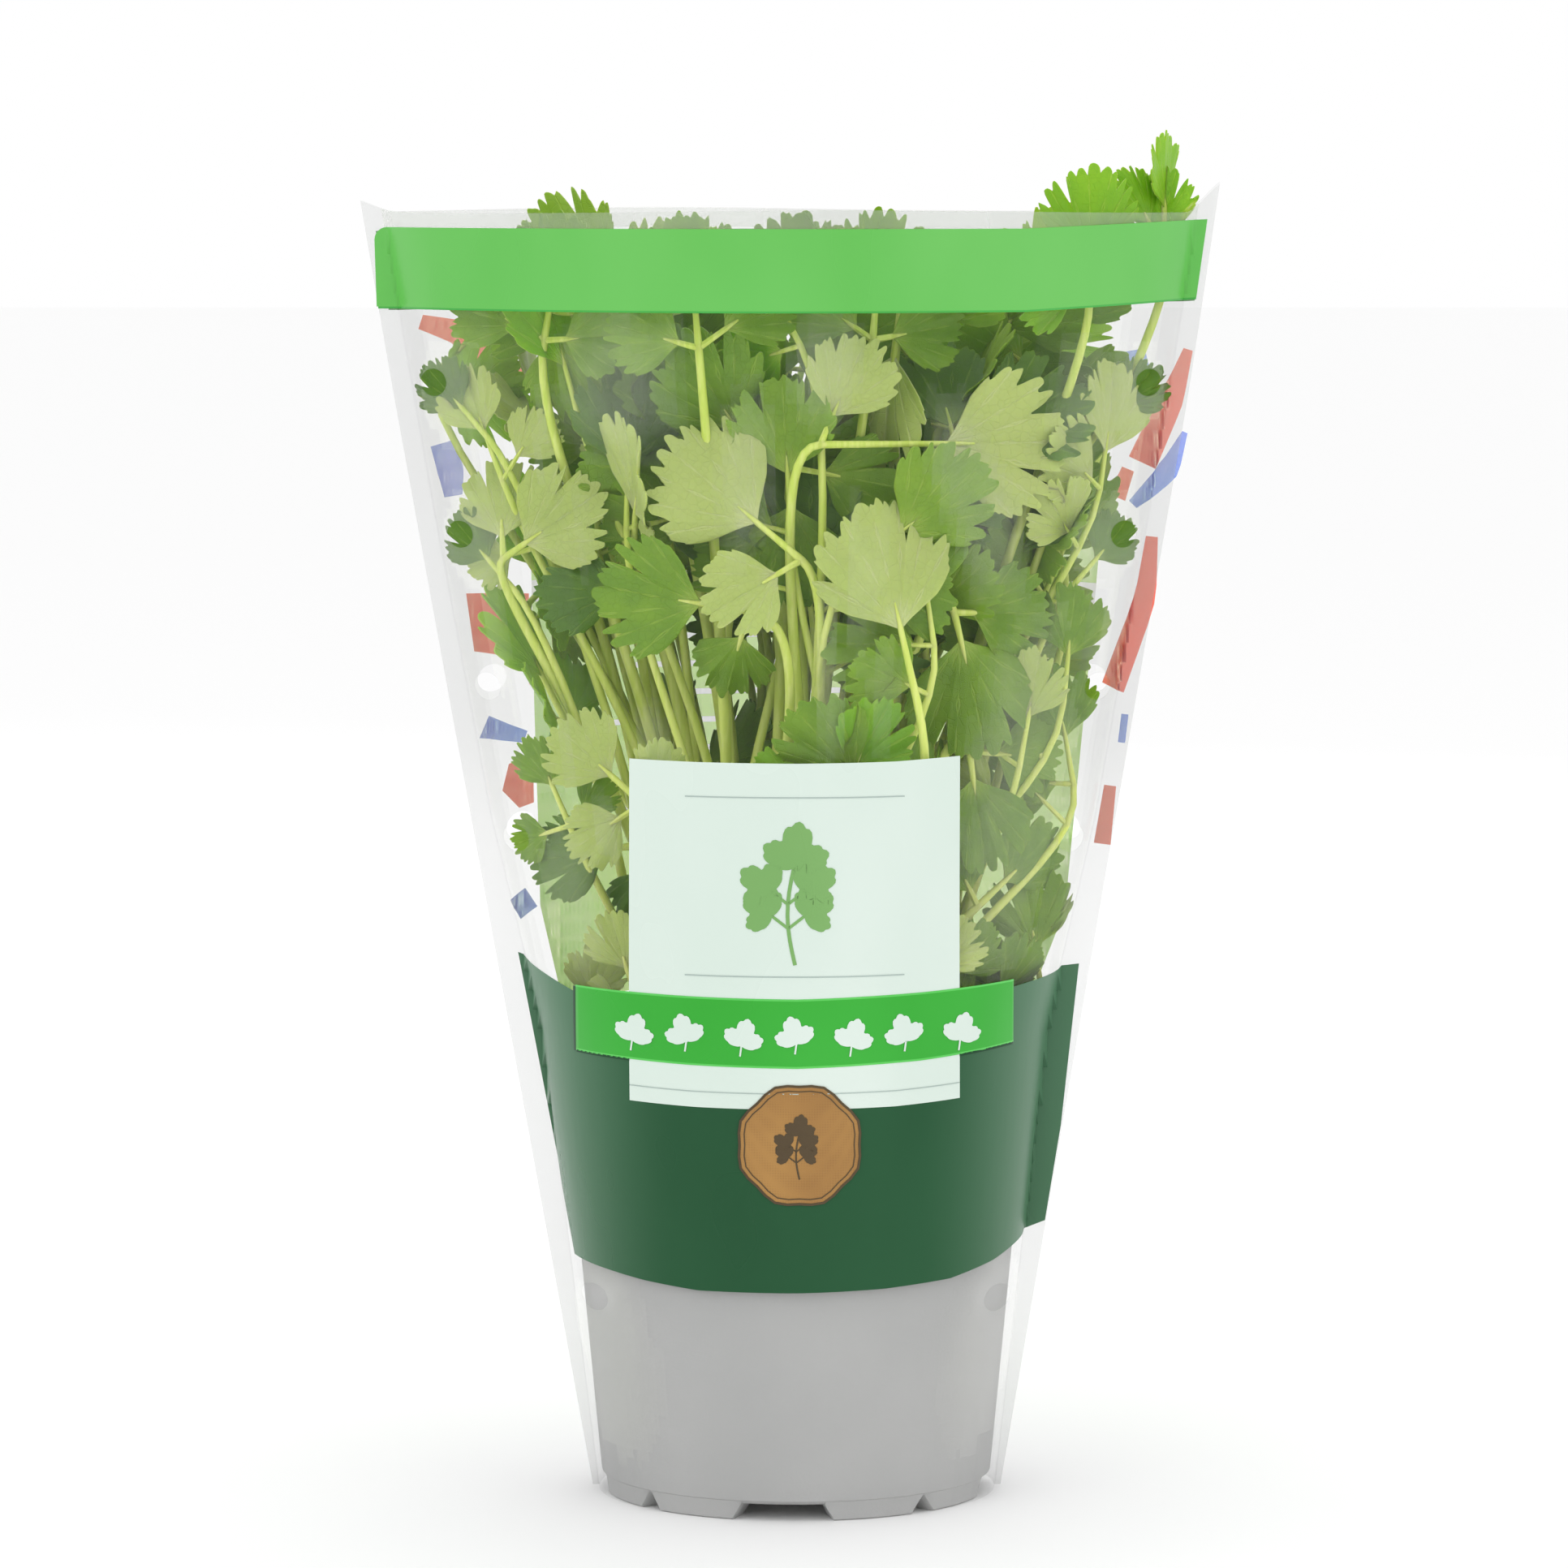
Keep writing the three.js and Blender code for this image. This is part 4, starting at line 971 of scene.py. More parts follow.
def pot_columns():
    """Angles round the pot, with one at each corner of each notch."""
    angles = [*(np.arange(POT_COLUMNS) * 2 * math.pi / POT_COLUMNS)]
    for centre, *widths in NOTCHES:
        for half in (width / 2 for width in widths):
            for side in (-1, 1):
                turn = centre + side * math.asin(half / POT_BASE_RADIUS)
                angles.append(turn % (2 * math.pi))
    angles.sort()
    return [a for k, a in enumerate(angles) if k == 0 or a - angles[k - 1] > 1e-4]


def build_pot():
    rim_bottom = POT_HEIGHT - RIM_HEIGHT
    floor_top = FOOT_HEIGHT + POT_FLOOR
    ring_inside = POT_BASE_RADIUS - FOOT_RING_WIDTH
    inner = lambda z: pot_radius(z) - POT_WALL
    outer_foot = pot_radius(FOOT_HEIGHT)
    # Radius and height of each ring from the foot's top up the wall, over the rim and down inside.
    fixed = [(outer_foot - 0.1, FOOT_HEIGHT - 0.1), (outer_foot, FOOT_HEIGHT + 0.3)]
    fixed += [(pot_radius(z), z) for z in (8, 20, 35, 50, 65, 80, rim_bottom - RIM_SLOPE - 0.5)]
    fixed += [
        (pot_radius(rim_bottom) + 0.3, rim_bottom - RIM_SLOPE), (RIM_RADIUS - 0.6, rim_bottom - 0.2),
        (RIM_RADIUS - 0.2, rim_bottom + 0.4), (RIM_RADIUS, POT_HEIGHT - 0.7),
        (RIM_RADIUS - 0.25, POT_HEIGHT - 0.15), (RIM_RADIUS - 0.7, POT_HEIGHT),
        (RIM_RADIUS - POT_WALL + 0.3, POT_HEIGHT), (RIM_RADIUS - POT_WALL, POT_HEIGHT - 0.4),
        (inner(rim_bottom), rim_bottom), (inner(60), 60), (inner(30), 30),
        (inner(floor_top) - 0.2, floor_top + 0.8), (inner(floor_top) - 1, floor_top),
        (DRAIN_CIRCLE, floor_top),
    ]
    angles = pot_columns()
    profiles = []
    for low in map(notch_at, angles):
        profiles.append([
            (DRAIN_CIRCLE, FOOT_HEIGHT), (ring_inside - FOOT_DRAFT, FOOT_HEIGHT),
            (ring_inside, low + 0.25 * (low < 1)), (ring_inside + 0.3, low),
            (POT_BASE_RADIUS - FOOT_DRAFT - 0.35, low),
            (POT_BASE_RADIUS - FOOT_DRAFT + 0.1, low + 0.3),
            (POT_BASE_RADIUS, FOOT_HEIGHT - FOOT_LEDGE + 0.1), *fixed,
        ])
    rows = len(profiles[0])
    vertices = [(r * math.cos(a), r * math.sin(a), z) for a, p in zip(angles, profiles) for r, z in p]
    vertices += [(0, 0, FOOT_HEIGHT), (0, 0, floor_top)]
    count = len(angles)
    faces = []
    for j in range(count):
        a, b = j * rows, ((j + 1) % count) * rows
        for i in range(rows - 1):
            faces.append((a + i, b + i, b + i + 1, a + i + 1))
        faces.append((count * rows, b, a))
        faces.append((count * rows + 1, a + rows - 1, b + rows - 1))
    builder = MeshBuilder()
    builder.add(vertices, faces)
    pot = builder.finish("pot_moulded", [pot_material()], 32)
    drill = MeshBuilder()
    for i in range(DRAIN_HOLES):
        turn = 2 * math.pi * i / DRAIN_HOLES
        spot = np.array([DRAIN_CIRCLE * math.cos(turn), DRAIN_CIRCLE * math.sin(turn), 0])
        drill.add(*tube([spot, spot + UP * (floor_top + 2)], [DRAIN_RADIUS] * 2, DRAIN_SIDES))
    cut(pot, drill.finish("drill", []))
    return pot


def cut(piece, cutter):
    """Cuts one mesh out of another and removes the cutter."""
    modifier = piece.modifiers.new("cut", "BOOLEAN")
    modifier.operation = "DIFFERENCE"
    modifier.solver = "MANIFOLD"
    modifier.object = cutter
    bpy.context.view_layer.update()
    shape = bpy.data.meshes.new_from_object(piece.evaluated_get(bpy.context.evaluated_depsgraph_get()))
    piece.modifiers.clear()
    piece.data = shape
    bpy.data.objects.remove(cutter)


pot = build_pot()
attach(pot, "root")
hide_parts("pot")

# ---------------------------------------------------------------- compost


SOIL_RINGS = 44
SOIL_COLUMNS = 132
SOIL_DEEP = 12  # how far down the finished compost goes
CRUMBS = 260
CRUMB_FORM = (1.3, 0.9, 0.7)


def build_soil():
    shoulder = SOIL_TOP - 3
    radius = pot_radius(shoulder) - POT_WALL - 0.35
    builder = MeshBuilder()
    rows = []
    for i in range(SOIL_RINGS):
        share = (SOIL_RINGS - i) / SOIL_RINGS
        r = radius * share
        ring = []
        for j in range(SOIL_COLUMNS):
            turn = 2 * math.pi * j / SOIL_COLUMNS
            spot = Vector((r * math.cos(turn), r * math.sin(turn), 0))
            coarse = noise.noise(spot * 0.09) * SOIL_CRUMB
            fine = abs(noise.noise(spot * 0.45)) * 1.2 + noise.noise(spot * 1.1) * 0.5
            fine *= min(1, (1 - share) * 12 + 0.3)
            ring.append((spot.x, spot.y, SOIL_TOP - 0.4 + coarse + fine))
        rows.append(ring)
    low = [(x, y, SOIL_TOP - SOIL_DEEP) for x, y, _ in rows[0]]
    vertices = [p for ring in [low, *rows] for p in ring]
    vertices += [(0, 0, SOIL_TOP - SOIL_DEEP), (0, 0, SOIL_TOP)]
    builder.add(vertices, ring_faces(SOIL_RINGS + 1, SOIL_COLUMNS))
    stream = Stream("crumb")
    ball = bmesh.new()
    bmesh.ops.create_icosphere(ball, subdivisions=2, radius=1)
    sphere = np.array([v.co for v in ball.verts])
    sphere_faces = [tuple(v.index for v in face.verts) for face in ball.faces]
    ball.free()
    for _ in range(CRUMBS):
        r = (radius - 2.5) * math.sqrt(stream.next())
        turn = stream.draw((0, 2 * math.pi))
        size = 0.5 + 1.3 * stream.next() ** 2
        spin = stream.draw((0, 3))
        own = Vector((r, turn, spin))
        lumps = np.array([1 + 0.35 * noise.noise(Vector(p * 1.7) + own) for p in sphere])
        crumb = sphere * lumps[:, None] * size * CRUMB_FORM
        crumb = np.array([turned(p, UP, spin) for p in crumb])
        builder.add(crumb + (r * math.cos(turn), r * math.sin(turn), SOIL_TOP + 0.5), sphere_faces)
    return builder.finish("compost_top", [soil_material()], 80)


soil = build_soil()
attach(soil, "root")
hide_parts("soil")

# ---------------------------------------------------------------- film sleeve

FILM_THIN = 0.12
FILM_OUT = -0.35  # the film's middle, from the CAD film's outside
FLANGE_GAP = 0.16  # from the weld plane to each sheet in the side seams
FILM_COLUMNS = 112
FLANGE_COLUMNS = 6
FILM_ROWS = 132
HOLE_SIDES = 28
PUNCH_REACH = 5  # how far the punch for the air holes reaches past the sheets
# Soft creases: how quickly they change across, from sheet to sheet and upwards, and how far they
# stand off.
CREASES = [((0.045, 7.0, 0.014), 0.55), ((0.08, 3.0, 0.03), 0.1)]
CREASE_FADE = 14  # half depth below which the creases fade towards the seams
MOUTH_WAVE = 0.35  # how far the mouth's edge waves up and down
WAVE_START = {-1: 1.2, 1: 3.0}
CORNER_SPAN = (-7.5, 2)  # where a corner of the mouth rises, from the sheet's edge


def crease(x, z, side):
    """How far the film stands off its plain form, in millimetres."""
    return sum(noise.noise(Vector((x * a, side * b, z * c))) * deep for (a, b, c), deep in CREASES)


def mouth_height(x, side):
    """The top edge: a slow wave, and the corners stand up at the outer ends."""
    half = edge_x(1, SLEEVE_TOP) if x > 0 else -edge_x(-1, SLEEVE_TOP)
    corner = RIGHT_EDGE["corner"] if x > 0 else LEFT_EDGE["corner"]
    outer = smoothstep(half + CORNER_SPAN[0], half + CORNER_SPAN[1], abs(x))
    wave = MOUTH_WAVE * math.sin(x * 0.045 + WAVE_START[side])
    return SLEEVE_TOP + wave - 0.5 + corner * float(outer)


def on_sheet(x, z, side, out):
    """A point at a place on the front (-1) or back (1) sheet. out is its distance from the CAD
    film's outside, outwards."""
    depth = float(depth_at(x, z, -out))
    calm = float(smoothstep(0, CREASE_FADE, depth))
    outward = film_outward(x, side * max(depth, 0.5), z)
    y = side * max(depth, FLANGE_GAP + (out - FILM_OUT))
    return np.array([x, y, z]) + outward * (calm * crease(x, z, side))


def sheet_columns(z):
    """Places across a sheet: the seams' flat flanges, and the body evenly round its section."""
    middle, half_width, _, _ = section(z)
    left = np.linspace(edge_x(-1, z), middle - half_width, FLANGE_COLUMNS + 1)[:-1]
    right = np.linspace(middle + half_width, edge_x(1, z), FLANGE_COLUMNS + 1)[1:]
    body = middle - half_width * np.cos(np.linspace(0, math.pi, FILM_COLUMNS))
    return np.concatenate([left, body, right])


def add_slab(builder, low, high, faces, slots):
    """A closed thin slab between two copies of a sheet that has these faces and material slots."""
    count = len(low)
    edges = {pair: slot for face, slot in zip(faces, slots) for pair in zip(face, face[1:] + face[:1])}
    rim = [(pair, slot) for pair, slot in edges.items() if pair[::-1] not in edges]
    shut = [tuple(face) for face in faces]
    shut += [tuple(i + count for i in reversed(face)) for face in faces]
    shut += [(b, a, a + count, b + count) for (a, b), _ in rim]
    builder.add(np.concatenate([high, low]), shut, [*slots, *slots, *(slot for _, slot in rim)])


# The film shows more where it turns away from the front: from this share of the half width on, its
# alpha. Its grey darkens the same way: painted shade where the film is seen at a slant.
FILM_SHADES = [(0.0, 0.012), (0.62, 0.024), (0.76, 0.044), (0.86, 0.07), (0.94, 0.092)]
SEAM_ALPHA = 0.085
MOUTH_ALPHA = 0.17  # above the light bands the film is milky
MOUTH_FOOT = 261.2
HAZE_ALPHAS = (0.024, 0.034, 0.044, 0.054, 0.064, 0.076, 0.088, 0.1, 0.115)
HAZE_STEPS = 7  # a patch of strength 1 reaches this many of them
# Milky patches: the film's haze, with painted glare where it is creased and over the pot's sides:
# middle, length, width, lean from upright in degrees, and strength from 0 to 1.
FRONT_HAZE_AND_GLARE = [
    ((46, 148), 96, 30, 9, 1.0), ((37, 206), 50, 18, -18, 0.9), ((5, 234), 26, 18, 0, 0.8),
    ((-36, 231), 38, 30, 6, 0.8), ((-63, 187), 108, 9, -9.5, 0.8), ((67, 192), 116, 10, 9, 0.9),
    ((-47, 128), 44, 18, -8, 0.8), ((58, 226), 36, 20, 8, 0.8), ((-10, 214), 42, 14, 4, 0.5),
    ((-40, 34), 66, 26, -10, 1.1), ((41, 34), 66, 26, 10, 1.1), ((-72, 228), 34, 24, -10, 1.15),
    ((-67, 197), 32, 22, -10, 1.15), ((70, 228), 34, 24, 10, 1.15), ((65, 197), 32, 22, 10, 1.15),
]
# More small patches of haze and painted glare on each sheet. They lean as the sheet's sides do, by
# EDGE_LEAN at its edges.
RANDOM_HAZE_AND_GLARE = {"count": 15, "height": (112, 238), "across": (-0.86, 0.86), "length": (14, 44),
               "width": (3, 9), "lean": (-8, 8), "strength": (0.3, 0.8)}
EDGE_LEAN = 9.5
HAZE_EDGE = (0.35, 1.1)  # a patch fades between these shares of its size


def haze_patches():
    stream = Stream("haze")
    patches = {-1: list(FRONT_HAZE_AND_GLARE), 1: []}
    for side in (-1, 1):
        for _ in range(RANDOM_HAZE_AND_GLARE["count"]):
            z, share, length, width, lean, strength = (
                stream.draw(RANDOM_HAZE_AND_GLARE[key])
                for key in ("height", "across", "length", "width", "lean", "strength"))
            middle, half_width, _, _ = section(z)
            place = (middle + share * half_width, z)
            patches[side].append((place, length, width, EDGE_LEAN * share + lean, strength))
    return patches


HAZE = haze_patches()


def haze_and_glare_at(x, z, side):
    """How milky the film is at a place, from 0 to 1, its haze with painted glare: patches with soft,
    uneven edges.
    """
    most = 0.0
    for (x0, z0), length, width, lean, strength in HAZE[side]:
        lean = math.radians(lean)
        along = ((x - x0) * math.sin(lean) + (z - z0) * math.cos(lean)) / (length / 2)
        across = ((x - x0) * math.cos(lean) - (z - z0) * math.sin(lean)) / (width / 2)
        reach = math.hypot(along, across) * (1 + 0.3 * noise.noise(Vector((x * 0.15, z * 0.09, x0))))
        most = max(most, strength * (1 - float(smoothstep(*HAZE_EDGE, reach))))
    return most


def film_slot(column, x, z, side):
    """The material of a face of the film: the body's shades, which darken towards the sides with
    painted shade, the milky ones with painted glare, the seams or the mouth."""
    body = column + 0.5 - FLANGE_COLUMNS
    if body < 0 or body > FILM_COLUMNS - 1:
        return len(FILM_SHADES) + len(HAZE_ALPHAS)
    if z > MOUTH_FOOT:
        return len(FILM_SHADES) + len(HAZE_ALPHAS) + 1
    share = abs(math.cos(math.pi * body / (FILM_COLUMNS - 1)))
    plain = sum(share >= start for start, _ in FILM_SHADES) - 1
    milky = min(round(haze_and_glare_at(x, z, side) * HAZE_STEPS), len(HAZE_ALPHAS)) - 1
    if milky >= 0 and HAZE_ALPHAS[milky] > FILM_SHADES[plain][1]:
        return len(FILM_SHADES) + milky
    return plain


def add_film(builder, side):
    levels = np.linspace(0, 1, FILM_ROWS)
    low, high = [], []
    for level in levels:
        plain = mix(SLEEVE_BOTTOM, SLEEVE_TOP, level)
        for x in sheet_columns(plain):
            z = mix(SLEEVE_BOTTOM, mouth_height(x, side), level)
            low.append(on_sheet(x, z, side, FILM_OUT - FILM_THIN / 2))
            high.append(on_sheet(x, z, side, FILM_OUT + FILM_THIN / 2))
    across = FILM_COLUMNS + 2 * FLANGE_COLUMNS
    faces, slots = [], []
    for i in range(FILM_ROWS - 1):
        for j in range(across - 1):
            a = i * across + j
            quad = (a, a + 1, a + across + 1, a + across)
            faces.append(quad if side < 0 else quad[::-1])
            x, _, z = (low[a] + low[a + across + 1]) / 2
            slots.append(film_slot(j, x, z, side))
    add_slab(builder, np.array(low), np.array(high), faces, slots)


def build_film():
    builder = MeshBuilder()
    for side in (-1, 1):
        add_film(builder, side)
    # The body's shades turn a darker grey towards the sides: painted shade where the film is seen at a
    # slant.
    slant_shade_greys = [mix(np.array([0.72, 0.74, 0.71]), 0.36, k / 4).tolist() for k in range(len(FILM_SHADES))]
    shades = [film_material(f"film_clear_{k}", grey, alpha)
              for k, (grey, (_, alpha)) in enumerate(zip(slant_shade_greys, FILM_SHADES))]
    # The milky shades: the film's haze with painted glare.
    milky = [film_material(f"film_milky_glare_{k}", (0.88, 0.91, 0.8), alpha, 0.4, 1.0)
             for k, alpha in enumerate(HAZE_ALPHAS)]
    seam = film_material("film_seam", (0.5, 0.51, 0.5), SEAM_ALPHA)
    mouth = film_material("film_mouth", (0.54, 0.57, 0.52), MOUTH_ALPHA, 0.3, 1.0)
    film = builder.finish("sleeve_film", [*shades, *milky, seam, mouth], 40)
    punch_holes(film)
    return film


def punch_holes(piece):
    """Cuts the row of air holes near each side through a film or a print on it."""
    punch = MeshBuilder()
    for z in HOLE_HEIGHTS:
        middle, half_width, half_depth, _ = section(z)
        for side in (-1, 1):
            x = middle + side * (half_width - HOLE_INSET)
            ends = [(x, -half_depth - PUNCH_REACH, z), (x, half_depth + PUNCH_REACH, z)]
            punch.add(*tube(ends, [HOLE_RADIUS] * 2, HOLE_SIDES))
    cut(piece, punch.finish("punch", []))


film = build_film()
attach(film, "root")
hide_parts("sleeve")

# ---------------------------------------------------------------- print on the film

INK_THIN = 0.05
INK_STEP = 0.09  # from one layer of print to the next
INK_CLEAR = 0.12  # from the film to the first layer
PRINT_STEP = 4.0  # largest facet of a print upwards


class Press:
    """Collects what is printed on the front (-1) or the back (1) sheet."""

    def __init__(self, side):
        self.side = side
        self.builder = MeshBuilder()

    def area(self, ink, outline, layer=0):
        """A printed area with an outline of (x, z) points, cut up to follow the sheet's bends."""
        work = bmesh.new()
        work.faces.new([work.verts.new((x, 0, z)) for x, z in outline])
        (left, foot), (right, top) = np.min(outline, axis=0), np.max(outline, axis=0)
        cuts = [((x, 0, 0), (1, 0, 0)) for x in sheet_columns((foot + top) / 2) if left < x < right]
        levels = range(math.ceil(foot / PRINT_STEP), math.floor(top / PRINT_STEP) + 1)
        for spot, normal in cuts + [((0, 0, k * PRINT_STEP), (0, 0, 1)) for k in levels]:
            everything = [*work.verts, *work.edges, *work.faces]
            bmesh.ops.bisect_plane(work, geom=everything, plane_co=spot, plane_no=normal)
        work.verts.ensure_lookup_table()
        work.verts.index_update()
        flat = [(v.co.x, v.co.z) for v in work.verts]
        faces = []
        for face in work.faces:
            loop = tuple(v.index for v in face.verts)
            pairs = [(flat[a], flat[b]) for a, b in zip(loop, loop[1:] + loop[:1])]
            area = sum(a[0] * b[1] - b[0] * a[1] for a, b in pairs)
            faces.append(loop if (area > 0) == (self.side < 0) else loop[::-1])
        work.free()
        out = FILM_OUT + FILM_THIN / 2 + INK_CLEAR + INK_STEP * layer
        low, high = (np.array([on_sheet(x, z, self.side, level) for x, z in flat])
                     for level in (out, out + INK_THIN))
        add_slab(self.builder, low, high, faces, [INK_ORDER.index(ink)] * len(faces))

    def line(self, ink, points, width, layer=0):
        """A printed line of even width along (x, z) points."""
        points = np.array(points, float)
        ahead, behind = [*points[1:], points[-1]], [points[0], *points[:-1]]
        across = across_line(np.subtract(ahead, behind)) * width / 2
        left, right = ([tuple(p) for p in points + shift] for shift in (across, -across))
        for k in range(len(points) - 1):
            self.area(ink, [left[k], left[k + 1], right[k + 1], right[k]], layer)

    def sprig(self, ink, centre, size, layer):
        """A plain sprig: a curved stalk with leaves in pairs and one at its end."""
        x, z = centre
        climb = np.linspace(0, 1, 9)
        stalk = [(x - 0.1 * size * math.sin(3 * t), z - size + 1.3 * size * t) for t in climb]
        self.line(ink, stalk, 0.05 * size, layer)
        self.area(ink, sprig_leaf(stalk[-1], 0.12, 0.62 * size), layer)
        for node, length in ((3, 0.46), (5, 0.5)):
            for hand in (-1, 1):
                foot = stalk[node]
                base = (foot[0] + hand * 0.22 * size, foot[1] + 0.17 * size)
                self.line(ink, [foot, base], 0.04 * size, layer)
                self.area(ink, sprig_leaf(base, hand * 0.95, length * size), layer)

    def finish(self, name):
        return self.builder.finish(name, [INKS[ink] for ink in INK_ORDER], 40)


def across_line(along):
    """Unit (x, z) steps to the left of steps along a line."""
    along = along / np.linalg.norm(along, axis=1)[:, None]
    return np.stack([-along[:, 1], along[:, 0]], axis=1)


def rectangle(x0, x1, z0, z1):
    return [(x0, z0), (x1, z0), (x1, z1), (x0, z1)]


def sprig_leaf(base, heading, length):
    """The outline of a small leaf of three rounded lobes that grows from a base point."""
    outline = []
    for degrees in range(-180, 180, 5):
        reach = 0.06
        for lobe, size in ((0, 1.0), (58, 0.82), (-58, 0.82)):
            reach = max(reach, size * max(0.0, math.cos(math.radians(degrees - lobe))) ** 2.6)
        reach *= 1 - 0.08 * (1 - abs(math.cos(math.radians(degrees * 9))))
        turn = math.radians(degrees) + heading
        reach *= length
        outline.append((base[0] + reach * math.sin(turn), base[1] + reach * math.cos(turn)))
    return outline[::-1]


# Each ink's two colours on a screen, between which it clouds.
INK_COLOURS = {
    "light_green": ((96, 188, 80), (110, 196, 94)),
    "band_edge": ((60, 165, 62), (76, 178, 78)),
    "dark_green": ((31, 80, 48), (38, 88, 55)),
    "pale_mint": ((214, 229, 219), (224, 236, 228)),
    "bright_green": ((44, 168, 42), (56, 178, 54)),
    "banner_edge": ((86, 200, 86), (98, 208, 94)),
    "shade": ((22, 66, 38), (26, 72, 42)),
    "brown": ((74, 58, 36), (86, 70, 44)),
    "sprig": ((120, 170, 96), (134, 182, 108)),
    "fine_line": ((168, 184, 178), (178, 194, 188)),
    "red": ((250, 42, 34), (252, 56, 46)),
    "blue": ((48, 64, 196), (64, 82, 206)),
    "pale_green": ((128, 194, 50), (142, 204, 64)),
    "cream": ((236, 238, 210), (242, 244, 222)),
    "white": ((246, 248, 246), (252, 252, 250)),
}
MATT = {"specular": 0.18}
BACK_LIT = {"glow": 1.0}
# The dark green's sides colour is painted light towards the side seams.
INK_WAYS = {"dark_green": {"sides": linear(84, 126, 96), **MATT}, "shade": MATT,
            **dict.fromkeys(("red", "blue", "pale_green", "cream", "white"), BACK_LIT)}
INKS = {name: ink_material(name, *(linear(*c) for c in pair), **INK_WAYS.get(name, {}))
        for name, pair in INK_COLOURS.items()}
INKS["bronze"] = bronze_material()
INK_ORDER = list(INKS)

BAND_CORNER = 2.6  # radius of the light band's rounded corner


def top_band():
    """The light band at the mouth: it rises a little at its right end and has a rounded top corner on
    the left."""
    low, high = 245.3, 261.6
    left = edge_x(-1, high) + 2.2
    corner = [(left + BAND_CORNER * (1 - math.sin(t)), high - BAND_CORNER * (1 - math.cos(t)))
              for t in np.linspace(0, math.pi / 2, 7)]
    right = edge_x(1, low) - 1.4
    foot = [(left + 0.4, low), (46, low), (right, low + 1.9)]
    return foot + [(right + 2.2, high + 1.6), (46, high)] + corner


def back_band():
    """The back's light band, level with the front's at the side edges."""
    low, high = 244.6, 260.8
    left, right = edge_x(-1, low) + 2, edge_x(1, low) - 1.6
    return [(left, low), (46, low), (right, low + 1.9), (right + 2.2, high + 1.6), (46, high),
            (left - 2.6, high)]


def dark_band():
    """The dark band over the pot: its top edge dips beside the banner, and its ends slope."""
    left, right = edge_x(-1, 112), edge_x(1, 109)
    top = [(right - 2.2, 109.6), (44.2, 108), (30, 106.4), (-30, 106.4), (-45, 107.2)]
    foot = [(edge_x(-1, 50.5) + 5.3, 50.5), (-38, 49.7), (-31, 48.8), (-20, 47.8), (0, 47.9), (18, 48.3),
            (31, 49.2), (40, 51.4), (45, 53.4), (edge_x(1, 56) - 0.2, 56), (edge_x(1, 76) - 0.3, 76)]
    return [*foot, *top, (left + 4.6, 112)]


def back_dark_band():
    """The dark band on the back, hidden from the front by the one there."""
    right = [(edge_x(1, z) - margin, z) for z, margin in ((57.5, 0.6), (76, 0.7), (99, 2.2))]
    return [(edge_x(-1, 52) + 5.8, 52), (40, 52), *right, (edge_x(-1, 99) + 5.4, 99)]


def octagon_outline(centre, radius):
    """Eight corners joined by sides that bend in a little, as (x, z) points."""
    outline = []
    for k in range(8):
        for t in (0.0, 0.25, 0.5, 0.75):
            turn = math.radians(45 * (k + t))
            bulge = 1 - 0.03 * math.cos(math.radians(45 * t * 8))
            outline.append((centre[0] + radius * bulge * math.sin(turn),
                            centre[1] + radius * bulge * math.cos(turn)))
    return outline[::-1]


def build_front_print():
    press = Press(-1)
    press.area("light_green", top_band())
    ends = edge_x(-1, 261) + 2.8, edge_x(1, 245) - 1.4
    press.line("band_edge", [(ends[0], 245.1), (46, 245.1), (ends[1], 247)], 0.4)
    press.area("dark_green", dark_band())
    left, right = -33.6, 32.9
    low = [(left, 86.1), (-20, 85.8), (0, 85.7), (20, 85.9), (right, 86.6)]
    high = [(right, 156.1), (20, 155.5), (0, 155.3), (-20, 155.4), (left, 155.6)]
    press.area("pale_mint", low + high, 1)
    press.line("fine_line", [(x, z + 3.2) for x, z in low], 0.18, 2)
    for z in (148.5, 112.6):
        press.line("fine_line", [(x - 0.35, z) for x in np.linspace(-22, 22, 10)], 0.22, 2)
    start, end = -44.6, 44.4
    low = [(start, 95.4), (-22, 94.8), (0, 94.5), (25, 95.4), (end, 96.9)]
    high = [(end, 109.2), (25, 108.4), (0, 107.7), (-22, 107.9), (start, 108.2)]
    press.area("bright_green", low + high, 2)
    press.line("banner_edge", [(x, z + 0.2) for x, z in high], 0.4, 2)
    press.line("banner_edge", [(x, z - 0.2) for x, z in low], 0.4, 2)
    press.area("shade", rectangle(start - 0.5, start, 94.9, 108.3), 2)
    press.line("shade", [(start, 94.9), (left, 94.6)], 0.5, 2)
    press.line("shade", [(right, 95.5), (end, 96.4)], 0.5, 2)
    for k in range(7):
        x, z = -33 + 11 * k, 98.7 + 0.6 * (k % 2)
        press.area("pale_mint", sprig_leaf((x, z), 0.25 * (-1) ** k, 5.6), 3)
        press.line("pale_mint", [(x, z), (x - 0.3, z - 2.2)], 0.35, 3)
    badge = (0.6, 78.4)
    octagon = octagon_outline(badge, 12.6)
    press.area("bronze", octagon, 2)
    for share, width in ((0.985, 0.5), (0.9, 0.22)):
        ring = [tuple(b + share * (c - b) for b, c in zip(badge, corner)) for corner in octagon]
        press.line("brown", ring + ring[:1], width, 3)
    press.sprig("brown", badge, 7.0, 3)
    press.sprig("sprig", (-0.3, 130), 15.0, 2)
    return press.finish("sleeve_print_front")


